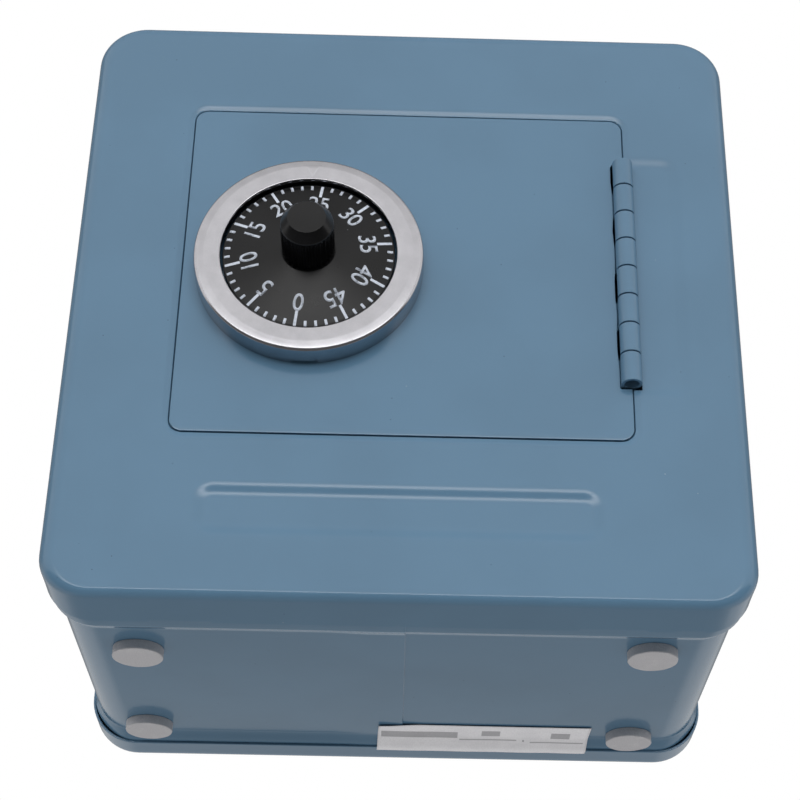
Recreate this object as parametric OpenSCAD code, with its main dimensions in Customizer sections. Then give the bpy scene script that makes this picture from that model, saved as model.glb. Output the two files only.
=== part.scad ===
// Toy safe coin bank: a pressed tinplate case with two slip-on covers, a hinged front door
// and a two-disc combination lock turned by a numbered dial.
// Millimetres. +Z is up, the door faces -Y, +X is the hinge side, and the pads stand on z = 0.
// Each module works in the case frame: y is the depth behind the front face, and z is measured
// from the middle of the covers. The module "placed" moves a piece from there into the part frame.

/* [Case] */
// Width over the covers
case_w = 127; // [115:1:165]
// Height over the covers
case_h = 129; // [115:1:165]
// Depth over both covers, without the dial
case_d = 82.2; // [70:0.1:120]
// Corner radius of the covers
case_corner_r = 9.5; // [8:0.5:14]
// Outer radius of the bend between a cover's face and its skirt
cover_bend_r = 3.2; // [2:0.1:5]
// Depth of the front cover
front_cover_d = 9.2; // [7:0.1:14]
// Depth of the back cover
back_cover_d = 9; // [7:0.1:14]
// Sheet thickness of the covers
cover_t = 0.5; // [0.4:0.05:0.8]
// Sheet thickness of the wrapped body
shell_t = 0.45; // [0.3:0.05:0.7]
// How far the body's walls lie inside the covers' skirts
body_inset = 1.66; // [1.4:0.02:2.2]
// Gap between the belled ends of the body and the skirts over them
skirt_clear = 0.05; // [0.02:0.01:0.2]
// Length of the front bell that shows behind the front cover
bell_show = 3.2; // [0:0.1:5]
// Length of the flare between the body's wall and its belled end
flare_l = 3.8; // [2:0.1:6]
// Distance of the lapped body seam from the middle
seam_x = 1.15; // [-20:0.05:20]
// Width of the seam's lap
seam_lap = 6; // [4:0.5:10]
// Height of the seam's lap
seam_t = 0.25; // [0.15:0.05:0.45]

/* [Coin slot] */
// Length of the coin slot
coin_slot_l = 40; // [30:1:60]
// Width of the coin slot
coin_slot_w = 5; // [4.6:0.1:8]
// Depth of the slot's turned-in edges
coin_slot_lip = 3; // [1:0.5:6]
// Distance of the slot behind the front face
coin_slot_y = 42; // [35:1:60]

/* [Feet and label] */
// Diameter of a foot pad
foot_dia = 9.5; // [8:0.5:12]
// Thickness of a foot pad
foot_t = 1.9; // [1.8:0.1:4]
// Length of the label
label_l = 43.3; // [30:0.1:50]
// Width of the label, measured flat from front to back
label_w = 10.8; // [8:0.1:14]
// Thickness of the label
label_t = 0.1; // [0.08:0.01:0.2]
// How far the label laps onto the back cover's skirt
label_lap = 1.5; // [1:0.1:3]
// Distance of the label's middle from the middle of the case
label_x = 17.8; // [0:0.1:30]

/* [Door] */
// Width of the door
door_w = 84.8; // [76:0.1:95]
// Height of the door
door_h = 72.9; // [66:0.1:85]
// Sheet thickness of the door
door_t = 0.6; // [0.5:0.1:1]
// Corner radius of the door
door_corner_r = 2.5; // [1.5:0.5:5]
// Distance of the door's middle from the middle of the case
door_x = -0.2; // [-4:0.1:4]
// Height of the door's middle above the middle of the case
door_z = 5.9; // [2:0.1:9]
// How far the door's face lies behind the front face
door_set_back = 0.3; // [0:0.1:0.6]
// Gap around the door's edge
door_gap = 0.35; // [0.3:0.05:0.8]
// Gap behind the closed door
door_rest_gap = 0.3; // [0.3:0.05:0.6]
// How far the door laps over the edge of the opening
door_lap = 4; // [3:0.5:6]
// Width of the sloping edge of the door's recess
recess_slope = 0.6; // [0.3:0.1:1.5]

/* [Pressed panel] */
// Width of the pressed panel's floor
panel_w = 69; // [50:1:85]
// Height of the pressed panel's floor
panel_h = 5.9; // [4:0.1:10]
// Depth of the pressed panel
panel_depth = 0.6; // [0.6:0.1:1.2]
// Width of the panel's sloping edge
panel_slope = 1.8; // [1:0.1:2.5]
// Gap between the door's recess and the panel's sloping edge
panel_gap = 9.9; // [4:0.1:12]

/* [Hinge] */
// Length of one knuckle and the gap after it
knuckle_pitch = 6.35; // [5:0.05:8]
// Number of knuckles
knuckles = 8; // [4:2:10]
// Gap between two knuckles
knuckle_gap = 0.3; // [0.3:0.05:0.6]
// Outer radius of the barrel
barrel_r = 1.95; // [1.8:0.05:2.5]
// Sheet thickness of the hinge
hinge_t = 0.6; // [0.5:0.05:0.7]
// Gap between the pin and the knuckles that turn on it
pin_clear = 0.05; // [0.02:0.01:0.1]
// Distance of the barrel's axis from the door's hinge-side edge
barrel_in = 0.2; // [0:0.1:1]
// Distance of the barrel's axis in front of the front face
barrel_out = 0.75; // [0.6:0.05:1.2]
// Width of the door's hinge leaf
leaf_w = 12; // [8:0.5:16]
// Distance of the frame's hinge leaf from the cover's bend
leaf_edge_gap = 4.95; // [2:0.05:8]
// Width of the pocket floor beside the barrel
pocket_w = 9.2; // [6:0.1:12]
// Width of the pocket's sloping edge
pocket_slope = 1.4; // [0.6:0.1:2]

/* [Dial] */
// Distance of the dial's axis from the door's free edge
dial_in = 24; // [22.5:0.5:30]
// Outer radius of the dial ring
ring_r = 21.8; // [21:0.1:22.2]
// Inner radius of the dial ring
ring_bore_r = 16.7; // [16.4:0.1:17]
// Height of the dial ring in front of the door
ring_h = 4.8; // [4.6:0.1:6]
// Sheet thickness of the dial ring
ring_t = 0.5; // [0.4:0.1:0.6]
// Radius of the dial ring's outer edge
ring_edge_r = 1.2; // [0.8:0.1:1.6]
// Width of a ring tab
tab_w = 4; // [3:0.5:5]
// Gap between the dial and the ring
dial_clear = 0.4; // [0.3:0.05:0.6]
// Thickness of the dial's rim
dial_t = 1.4; // [1:0.1:1.6]
// How far the dial's rim lies behind the ring's face
dial_set_back = 1.2; // [0.8:0.1:1.5]
// Height of the dial's cone, from its rim up to the knob
hub_h = 2.2; // [1:0.1:3]
// Radius of the knob
knob_r = 5; // [4.5:0.1:6]
// Radius of the knob's flat top
knob_top_r = 3.8; // [3:0.1:4.2]
// Length of the knob
knob_l = 10.1; // [8:0.1:14]
// Number of flutes around the knob
knob_flutes = 28; // [20:1:36]

/* [Lock] */
// Radius of the spindle
spindle_r = 2; // [1.8:0.1:2.5]
// Running clearance of every turning fit in the lock
lock_clear = 0.05; // [0.02:0.01:0.1]
// Radius of the lock discs
disc_r = 15; // [13:0.5:15]
// Thickness of a lock disc
disc_t = 1; // [0.8:0.1:1.2]
// Depth of a disc's notch
notch_depth = 3.7; // [3.5:0.1:5]
// Width of a disc's notch
notch_w = 4.2; // [4:0.1:6]
// How far the strike reaches over the discs
strike_over = 3; // [2:0.1:3]
// Width of the strike's tongue
strike_w = 3; // [2:0.1:3]
// Thickness of the strike
strike_t = 1; // [0.8:0.1:1.2]
// Gap along the spindle between a turning piece and its neighbour
side_gap = 0.3; // [0.3:0.05:0.5]
// Radius at which the two pick-up pins turn
pickup_r = 9; // [8:0.5:11]
// Radius of a pick-up pin
pickup_pin_r = 0.8; // [0.6:0.1:1]
// Thickness of the lock bridge
bridge_t = 1; // [0.8:0.1:1.2]
// Width of the lock bridge
bridge_w = 14; // [12:1:16]
// Radius of a rivet's shank
rivet_r = 0.9; // [0.8:0.1:1.1]

/* [Hidden] */
$fn = 64;
// Overshoot of a cut past the face that it opens
cut = 1;

// The case stands on its pads, or on its covers when the pads are thinner than the inset
foot_lift = max(foot_t - body_inset, 0);
mid_z = foot_lift + case_h / 2;

// Covers and body: radii are measured from the corners' centres, which all pieces share
body_r = case_corner_r - body_inset;
bell_r = case_corner_r - cover_t - skirt_clear;
bell_end = cover_bend_r + 0.2;
front_bell_y = front_cover_d + bell_show;
back_bell_y = case_d - back_cover_d - 0.1;
face_w = case_w - 2 * cover_bend_r;
face_h = case_h - 2 * cover_bend_r;
face_r = case_corner_r - cover_bend_r;
wall_z = case_h / 2 - body_inset;

// Door and its recess
door_back = door_set_back + door_t;
recess_depth = door_back + door_rest_gap;
lip_back = recess_depth + cover_t;
open_w = door_w - 2 * door_lap;
open_h = door_h - 2 * door_lap;
open_r = 3;
door_left = door_x - door_w / 2;
door_right = door_x + door_w / 2;
door_low = door_z - door_h / 2;
panel_z = door_low - door_gap - recess_slope - panel_gap - panel_slope - panel_h / 2;

// Hinge
hinge_len = knuckles * knuckle_pitch;
barrel_x = door_right - barrel_in;
barrel_y = -barrel_out;
bore_r = barrel_r - hinge_t;
pin_r = bore_r - pin_clear;
notch_left = barrel_x - barrel_r - 0.45;
slot_right = barrel_x + barrel_r + 0.3;
slot_end_gap = 0.8;
frame_leaf_w = case_w / 2 - cover_bend_r - leaf_edge_gap - barrel_x - bore_r;
pin_recess = 2.6;
pocket_left = door_right - 3;
pocket_right = barrel_x + pocket_w;

// Dial, ring and knob
dial_x = door_left + dial_in;
ring_face = door_set_back - ring_h;
dial_r = ring_bore_r - dial_clear;
dial_face = ring_face + dial_set_back;
dial_back = dial_face + dial_t;
hub_face = dial_face - hub_h;
dial_land = 0.5;
hub_foot_r = dial_r - dial_land;
knob_end = hub_face - knob_l;
knob_reach = -knob_end;
flute_r = 0.34;
flute_start = knob_end + 2.3;
flange_t = 0.8;
flange_face = door_set_back - flange_t;
bush_r = 3.5;
tab_angles = [30, 150, 210, 330];
drain_w = 4.8;
drain_h = 0.5;

// Lock stack, from the door backwards
bush_back = door_back + flange_t;
strike_front = lip_back;
strike_back = strike_front + strike_t;
disc_front = strike_back + 2 * side_gap;
disc_back = disc_front + disc_t;
wheel_gap = 1.8;
wheel_front = disc_back + wheel_gap;
wheel_back = wheel_front + disc_t;
collar_r = 5.5;
collar_t = 1.3;
disc_hub_r = 3.6;
disc_hub_end = wheel_back + side_gap + collar_t;
bridge_front = disc_hub_end + 4 * side_gap;
bridge_back = bridge_front + bridge_t;
bridge_leg = disc_r + 0.9;
bridge_foot = 5;
clip_front = bridge_back + 2 * side_gap;
clip_t = 0.6;
clip_r = 3.6;
clip_groove_r = spindle_r - 0.5;
spindle_end = clip_front + clip_t + 0.8;
spindle_start = knob_end + 3.5;
rivet_x = 4;
rivet_z = bridge_leg + bridge_t + 2;
rivet_head_r = 1.6;
rivet_head_t = 0.7;
pickup_lead = 45;

// Feet: side, distance from that side, and depth behind the front face
feet = [
    ["foot_front_left", -1, 15.5, 25.6],
    ["foot_front_right", 1, 16.7, 22.4],
    ["foot_back_left", -1, 13.2, case_d - 16.8],
    ["foot_back_right", 1, 15.9, case_d - 14.8],
];

face_y = (knob_reach - case_d) / 2;

case_blue = [0.41, 0.52, 0.61];
steel = [0.72, 0.73, 0.74];
zinc = [0.62, 0.63, 0.62];
brass = [0.75, 0.62, 0.32];
dial_black = [0.08, 0.08, 0.09];
foam_grey = [0.62, 0.61, 0.61];

// ---- helpers ----

module placed() {
    translate([0, face_y, mid_z]) children();
}

// A flat rectangle with round corners, in its own plane
module round_rect(w, h, r) {
    square([w - 2 * r, h], center = true);
    square([w, h - 2 * r], center = true);
    for (sx = [-1, 1], sy = [-1, 1])
        translate([sx * (w / 2 - r), sy * (h / 2 - r)]) circle(r);
}

// An upright plate with round corners, t thick, whose front lies on y = 0
module upright(w, h, r, t) {
    rotate([-90, 0, 0]) linear_extrude(t) round_rect(w, h, r);
}

// Sweeps a profile round an upright rectangle: its x is measured outwards from the corners'
// centres, and its y is the depth
module rim(w, h, r) {
    cx = w / 2 - r;
    cz = h / 2 - r;
    rotate([-90, 0, 0]) {
        for (i = [0:3]) {
            across = i % 2 == 0;
            rotate([0, 0, 90 * i])
                translate([across ? cx : cz, 0, 0])
                    rotate([90, 0, 0]) linear_extrude(across ? 2 * cz : 2 * cx, center = true) children();
            rotate([0, 0, 90 * i])
                translate([across ? cx : cz, across ? cz : cx, 0]) rotate_extrude(angle = 90) children();
        }
    }
}

// A pressed hollow with a flat floor and one sloping edge all round, to cut from a face
module dish(w, h, r, depth, slope) {
    inner = r - 0.3;
    translate([0, -cut, 0]) upright(w, h, r, depth + cut);
    rim(w, h, r)
        polygon([[inner, -cut], [r + slope, -cut], [r + slope, 0], [r, depth], [inner, depth]]);
}

// A body turned about the dial's axis: the profile's x is the radius, and its y is the depth
module turned() {
    translate([dial_x, 0, door_z]) rotate([-90, 0, 0]) rotate_extrude() children();
}

// A round bar along the dial's axis, from one depth to another
module bar(r, from, to) {
    translate([dial_x, from, door_z]) rotate([-90, 0, 0]) cylinder(r = r, h = to - from);
}

// A block given by its lowest corner and its highest corner
module block(low, high) {
    translate(low) cube(high - low);
}

// ---- case ----

module shell_profile(t) {
    polygon([
        [bell_r - t, bell_end], [bell_r, bell_end], [bell_r, front_bell_y],
        [body_r, front_bell_y + flare_l], [body_r, back_bell_y - flare_l], [bell_r, back_bell_y],
        [bell_r, case_d - bell_end], [bell_r - t, case_d - bell_end], [bell_r - t, back_bell_y],
        [body_r - t, back_bell_y - flare_l], [body_r - t, front_bell_y + flare_l],
        [bell_r - t, front_bell_y],
    ]);
}

module body_shell() {
    color(case_blue) placed() {
        difference() {
            union() {
                rim(case_w, case_h, case_corner_r) shell_profile(shell_t);
                seam_front = front_bell_y + flare_l;
                seam_back = back_bell_y - flare_l;
                block([seam_x - seam_lap, seam_front, -wall_z - seam_t], [seam_x, seam_back, -wall_z + 0.1]);
                coin_slot_frame();
            }
            translate([0, coin_slot_y, wall_z - coin_slot_lip - cut])
                linear_extrude(coin_slot_lip + 2 * cut) square([coin_slot_l, coin_slot_w], center = true);
        }
    }
}

module coin_slot_frame() {
    translate([0, coin_slot_y, wall_z - coin_slot_lip])
        linear_extrude(coin_slot_lip - shell_t / 2)
            square([coin_slot_l + 2 * shell_t, coin_slot_w + 2 * shell_t], center = true);
}

module cover_profile(depth) {
    bend_x = case_corner_r - cover_bend_r;
    translate([case_corner_r - cover_t, cover_bend_r]) square([cover_t, depth - cover_bend_r]);
    intersection() {
        translate([bend_x, cover_bend_r]) difference() {
            circle(cover_bend_r);
            circle(cover_bend_r - cover_t);
        }
        translate([bend_x, 0]) square(cover_bend_r);
    }
}

module front_dishes() {
    recess_r = door_corner_r + door_gap;
    translate([door_x, 0, door_z])
        dish(door_w + 2 * door_gap, door_h + 2 * door_gap, recess_r, recess_depth, recess_slope);
    translate([(pocket_left + pocket_right) / 2, 0, door_z])
        dish(pocket_right - pocket_left, hinge_len - 0.6, 1.5, recess_depth, pocket_slope);
    translate([door_x - 0.3, 0, panel_z]) dish(panel_w, panel_h, 1.5, panel_depth, panel_slope);
}

module front_face() {
    difference() {
        upright(face_w, face_h, face_r, lip_back);
        front_dishes();
        translate([0, cover_t, 0]) difference() {
            upright(face_w + 2 * cut, face_h + 2 * cut, face_r, lip_back);
            front_dishes();
        }
    }
}

module front_cover() {
    color(case_blue) placed() difference() {
        union() {
            front_face();
            rim(case_w, case_h, case_corner_r) cover_profile(front_cover_d);
        }
        translate([door_x, -cut, door_z]) upright(open_w, open_h, open_r, lip_back + 2 * cut);
        half_slot = hinge_len / 2 + slot_end_gap;
        block([door_x, -cut, door_z - half_slot], [slot_right, lip_back + cut, door_z + half_slot]);
    }
}

// The back cover is the front cover's tray turned round, with one pressed stiffening panel
module back_cover() {
    stiffener_in = 16;
    stiffener_depth = 0.8;
    color(case_blue) placed() translate([0, case_d, 0]) mirror([0, 1, 0]) {
        rim(case_w, case_h, case_corner_r) cover_profile(back_cover_d);
        difference() {
            upright(face_w, face_h, face_r, stiffener_depth + cover_t);
            back_dish(stiffener_in, stiffener_depth);
            translate([0, cover_t, 0]) difference() {
                upright(face_w + 2 * cut, face_h + 2 * cut, face_r, stiffener_depth + cover_t);
                back_dish(stiffener_in, stiffener_depth);
            }
        }
    }
}

module back_dish(inset, depth) {
    dish(case_w - 2 * inset, case_h - 2 * inset, 4, depth, panel_slope);
}

module foot(spec) {
    color(foam_grey) placed() difference() {
        translate([spec[1] * (case_w / 2 - spec[2]), spec[3], -wall_z - foot_t])
            cylinder(d = foot_dia, h = foot_t);
        intersection() {
            rim(case_w, case_h, case_corner_r) shell_profile(body_r);
            block([-case_w, 0, -case_h], [case_w, case_d, 0]);
        }
    }
}

module label() {
    lap_y = case_d - back_cover_d;
    flare_y = back_bell_y - flare_l;
    bridge_l = sqrt(pow(lap_y - flare_y, 2) + pow(body_inset, 2));
    front_y = flare_y - (label_w - label_lap - bridge_l);
    high = -wall_z - seam_t;
    low = -case_h / 2;
    color("white") placed()
        translate([label_x - label_l / 2, 0, 0]) rotate([90, 0, 90]) linear_extrude(label_l)
            polygon([
                [front_y, high], [flare_y, high], [lap_y, low], [lap_y + label_lap, low],
                [lap_y + label_lap, low - label_t], [lap_y, low - label_t],
                [flare_y, high - label_t], [front_y, high - label_t],
            ]);
}

// ---- hinge ----

// Knuckles of one hinge half, every second one from the first, counted from the top
module knuckle_row(first, end_bore_r) {
    for (i = [first:2:knuckles - 1]) {
        top = door_z + hinge_len / 2 - i * knuckle_pitch;
        hole_r = i == 0 ? end_bore_r : bore_r;
        translate([barrel_x, barrel_y, top - knuckle_pitch + knuckle_gap / 2]) difference() {
            cylinder(r = barrel_r, h = knuckle_pitch - knuckle_gap);
            translate([0, 0, -cut]) cylinder(r = hole_r, h = knuckle_pitch + 2 * cut);
        }
    }
}

// Webs that join the knuckles of one half to its leaf; side is -1 for the door, 1 for the frame
module knuckle_webs(first, side, back) {
    inner = barrel_x + side * bore_r;
    outer = barrel_x + side * barrel_r;
    for (i = [first:2:knuckles - 1]) {
        low = door_z + hinge_len / 2 - (i + 1) * knuckle_pitch + knuckle_gap / 2;
        block([min(inner, outer), barrel_y, low], [max(inner, outer), back, low + knuckle_pitch - knuckle_gap]);
    }
}

module hinge_half(first, side, front, end_bore_r, width) {
    back = front + hinge_t;
    inner = barrel_x + side * bore_r;
    far = inner + side * width;
    difference() {
        union() {
            knuckle_row(first, end_bore_r);
            knuckle_webs(first, side, back);
        }
        translate([barrel_x, barrel_y, door_z - hinge_len]) cylinder(r = pin_r, h = 2 * hinge_len);
    }
    block(
        [min(inner, far), front, door_z - hinge_len / 2 + knuckle_gap / 2],
        [max(inner, far), back, door_z + hinge_len / 2 - knuckle_gap / 2]
    );
}

module hinge_frame_leaf() {
    color(case_blue) placed() hinge_half(0, 1, lip_back, pin_r, frame_leaf_w);
}

module hinge_door_leaf() {
    color(case_blue) placed() hinge_half(1, -1, door_back, bore_r, leaf_w);
}

module hinge_pin() {
    color(steel) placed()
        translate([barrel_x, barrel_y, door_z - hinge_len / 2 + pin_recess])
            cylinder(r = pin_r, h = hinge_len - pin_recess - 0.5);
}

// ---- door ----

module ring_tab_cuts(clear) {
    for (a = tab_angles)
        translate([dial_x, 0, door_z]) rotate([0, -a, 0])
            block([ring_r - ring_t - clear, -cut, -tab_w / 2 - clear], [ring_r + clear, 2 * cut, tab_w / 2 + clear]);
}

module rivet_places() {
    for (sx = [-1, 1], sz = [-1, 1])
        translate([dial_x + sx * rivet_x, 0, door_z + sz * rivet_z]) rotate([-90, 0, 0]) children();
}

module door_panel() {
    color(case_blue) placed() difference() {
        translate([door_x, door_set_back, door_z]) upright(door_w, door_h, door_corner_r, door_t);
        half_notch = hinge_len / 2 + slot_end_gap;
        block([notch_left, -cut, door_z - half_notch], [door_right + cut, door_back + cut, door_z + half_notch]);
        bar(bush_r, -cut, door_back + cut);
        ring_tab_cuts(0.1);
        rivet_places() translate([0, 0, -cut]) cylinder(r = rivet_r, h = door_back + 2 * cut);
    }
}

module ring_profile() {
    edge_x = ring_r - ring_edge_r;
    edge_y = ring_face + ring_edge_r;
    translate([ring_r - ring_t, edge_y]) square([ring_t, door_set_back - edge_y]);
    translate([ring_bore_r, ring_face]) square([edge_x - ring_bore_r, ring_t]);
    translate([ring_bore_r, ring_face]) square([ring_t, dial_set_back + dial_t / 2]);
    intersection() {
        translate([edge_x, edge_y]) difference() {
            circle(ring_edge_r);
            circle(ring_edge_r - ring_t);
        }
        translate([edge_x, ring_face]) square(ring_edge_r);
    }
}

module dial_ring() {
    tab_in = 3;
    fold_back = door_back + ring_t;
    wall_in = ring_r - ring_t + 0.05;
    wall_out = ring_r - 0.1;
    color(steel) placed() {
        difference() {
            turned() ring_profile();
            block(
                [dial_x - drain_w / 2, door_set_back - drain_h, door_z - ring_r - cut],
                [dial_x + drain_w / 2, door_set_back + cut, door_z]
            );
        }
        for (a = tab_angles) translate([dial_x, 0, door_z]) rotate([0, -a, 0]) {
            block([wall_in, door_set_back - 1, -tab_w / 2], [wall_out, fold_back, tab_w / 2]);
            block([wall_in - tab_in, door_back, -tab_w / 2], [wall_out, fold_back, tab_w / 2]);
        }
    }
}

module spindle_bush() {
    color(brass) placed() difference() {
        union() {
            bar(bush_r + 2, flange_face, door_set_back);
            bar(bush_r, door_set_back, door_back);
            bar(bush_r + 1, door_back, bush_back);
        }
        bar(spindle_r + lock_clear, -ring_h, bush_back + cut);
    }
}

module lock_bridge() {
    leg_out = bridge_leg + bridge_t;
    foot_end = leg_out + bridge_foot;
    half_w = bridge_w / 2;
    color(zinc) placed() difference() {
        translate([dial_x, 0, door_z]) {
            block([-half_w, bridge_front, -leg_out], [half_w, bridge_back, leg_out]);
            for (s = [-1, 1]) {
                leg_z = s * (bridge_leg + bridge_t / 2);
                foot_z = s * (bridge_leg + foot_end) / 2;
                foot_l = foot_end - bridge_leg;
                block(
                    [-half_w, door_back, leg_z - bridge_t / 2],
                    [half_w, bridge_back, leg_z + bridge_t / 2]
                );
                block(
                    [-half_w, door_back, foot_z - foot_l / 2],
                    [half_w, door_back + bridge_t, foot_z + foot_l / 2]
                );
            }
        }
        bar(spindle_r + lock_clear, bridge_front - cut, bridge_back + cut);
        rivet_places() cylinder(r = rivet_r, h = door_back + bridge_t + cut);
    }
}

module bridge_rivets() {
    shank_end = door_back + bridge_t;
    color(steel) placed() rivet_places() {
        translate([0, 0, door_set_back - rivet_head_t]) cylinder(r = rivet_head_r, h = rivet_head_t);
        translate([0, 0, door_set_back]) cylinder(r = rivet_r, h = shank_end - door_set_back);
        translate([0, 0, shank_end]) cylinder(r = rivet_head_r, h = rivet_head_t);
    }
}

module strike_plate() {
    tip_x = dial_x - disc_r + strike_over;
    base_x = door_x - open_w / 2;
    base_half = 6;
    color(zinc) placed() {
        block([base_x - door_lap - 1, strike_front, door_z - base_half], [base_x + 1, strike_back, door_z + base_half]);
        block([base_x, strike_front, door_z - strike_w / 2], [tip_x, strike_back, door_z + strike_w / 2]);
    }
}

// ---- dial and lock ----

module dial_disc() {
    boss_r = 4;
    boss_end = flange_face - side_gap;
    color(dial_black) placed() turned()
        polygon([
            [spindle_r, hub_face], [knob_r + 0.3, hub_face], [hub_foot_r, dial_face],
            [dial_r, dial_face], [dial_r, dial_back], [boss_r, dial_back], [boss_r, boss_end],
            [spindle_r, boss_end],
        ]);
}

module knob() {
    shoulder = knob_end + 1.8;
    color(dial_black) placed() difference() {
        turned() polygon([
            [0, knob_end], [knob_top_r, knob_end], [knob_r - 0.3, shoulder], [knob_r, flute_start],
            [knob_r, hub_face], [spindle_r, hub_face], [spindle_r, spindle_start], [0, spindle_start],
        ]);
        for (i = [0:knob_flutes - 1])
            translate([dial_x, flute_start - 0.4, door_z]) rotate([-90, 0, 0])
                rotate([0, 0, i * 360 / knob_flutes])
                    translate([knob_r, 0, 0]) cylinder(r = flute_r, h = hub_face - flute_start + cut, $fn = 24);
    }
}

module spindle() {
    color(steel) placed() {
        bar(spindle_r, spindle_start, clip_front);
        bar(clip_groove_r, clip_front, clip_front + clip_t);
        bar(spindle_r, clip_front + clip_t, spindle_end);
    }
}

module spring_washer() {
    leaf = 0.3;
    front = bush_back + side_gap;
    color(steel) placed() turned()
        polygon([
            [spindle_r, front], [spindle_r + 3, disc_front - leaf], [spindle_r + 3, disc_front],
            [spindle_r, front + leaf],
        ]);
}

module notched_disc(front, hole_r) {
    difference() {
        bar(disc_r, front, front + disc_t);
        bar(hole_r, front - cut, front + disc_t + cut);
        translate([dial_x, 0, door_z])
            block(
                [-disc_r - cut, front - cut, -notch_w / 2],
                [notch_depth - disc_r, front + disc_t + cut, notch_w / 2]
            );
    }
}

module drive_disc() {
    color(zinc) placed() {
        notched_disc(disc_front, spindle_r);
        difference() {
            bar(disc_hub_r, disc_back, disc_hub_end);
            bar(spindle_r, disc_back - cut, disc_hub_end + cut);
        }
    }
}

module combination_wheel() {
    color(zinc) placed() notched_disc(wheel_front, disc_hub_r + lock_clear);
}

// A pick-up pin that stands on a disc, at an angle from the hinge side
module pickup_pin(angle, from, to) {
    color(steel) placed() translate([dial_x, from, door_z]) rotate([0, -angle, 0])
        translate([pickup_r, 0, 0]) rotate([-90, 0, 0]) cylinder(r = pickup_pin_r, h = to - from);
}

module drive_pin() {
    pickup_pin(0, disc_back, wheel_front - side_gap);
}

module wheel_pin() {
    pickup_pin(pickup_lead, disc_back + side_gap, wheel_front);
}

module hub_ring(from, to) {
    color(steel) placed() difference() {
        bar(collar_r, from, to);
        bar(disc_hub_r, from - cut, to + cut);
    }
}

module spacer_washer() {
    hub_ring(disc_back, wheel_front - side_gap);
}

module wheel_collar() {
    hub_ring(wheel_back + side_gap, disc_hub_end);
}

module retaining_clip() {
    color(steel) placed() difference() {
        bar(clip_r, clip_front, clip_front + clip_t);
        bar(clip_groove_r, clip_front - cut, clip_front + clip_t + cut);
        translate([dial_x, 0, door_z])
            block([-clip_groove_r, clip_front - cut, -clip_r - cut], [clip_groove_r, clip_front + cut, 0]);
    }
}

body_shell();
front_cover();
back_cover();
hinge_frame_leaf();
hinge_pin();
strike_plate();
for (spec = feet) foot(spec);
label();
door_panel();
hinge_door_leaf();
dial_ring();
spindle_bush();
lock_bridge();
bridge_rivets();
dial_disc();
knob();
spindle();
spring_washer();
drive_disc();
drive_pin();
spacer_washer();
wheel_collar();
retaining_clip();
combination_wheel();
wheel_pin();
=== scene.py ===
"""Looks of a toy safe coin bank with a combination dial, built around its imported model.

Every mesh is drawn in the case frame, in millimetres: x runs across, y is the depth behind the
front face, and z is measured from the middle of the covers. Layout places it in the part frame.
"""

import logging
import math
from collections.abc import Callable, Sequence
from dataclasses import dataclass, field
from enum import Enum

import bmesh
import bpy
import numpy as np
from mathutils import Matrix, Vector

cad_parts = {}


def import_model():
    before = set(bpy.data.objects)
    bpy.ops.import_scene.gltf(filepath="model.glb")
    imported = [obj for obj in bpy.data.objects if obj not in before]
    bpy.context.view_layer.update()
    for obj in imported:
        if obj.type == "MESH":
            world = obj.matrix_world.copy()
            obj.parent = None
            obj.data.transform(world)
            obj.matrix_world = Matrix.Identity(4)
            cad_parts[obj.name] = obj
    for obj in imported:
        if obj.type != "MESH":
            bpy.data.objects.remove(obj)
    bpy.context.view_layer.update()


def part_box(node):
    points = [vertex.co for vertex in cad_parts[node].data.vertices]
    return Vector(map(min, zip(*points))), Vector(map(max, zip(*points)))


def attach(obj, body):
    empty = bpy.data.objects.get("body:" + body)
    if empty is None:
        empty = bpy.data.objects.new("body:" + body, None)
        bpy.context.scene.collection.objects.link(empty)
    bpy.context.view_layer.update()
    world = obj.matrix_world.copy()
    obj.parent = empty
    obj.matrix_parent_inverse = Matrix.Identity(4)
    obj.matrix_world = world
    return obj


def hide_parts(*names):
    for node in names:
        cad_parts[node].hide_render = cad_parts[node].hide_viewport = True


LOG = logging.getLogger("coin_bank")
MM = 0.001
SEED = 7
SHARP_R = 0.05
FLAT_SLOPE = 0.1
Distance = Callable[[np.ndarray, np.ndarray], np.ndarray]


# ---------------------------------------------------------------- shader maths


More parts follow.
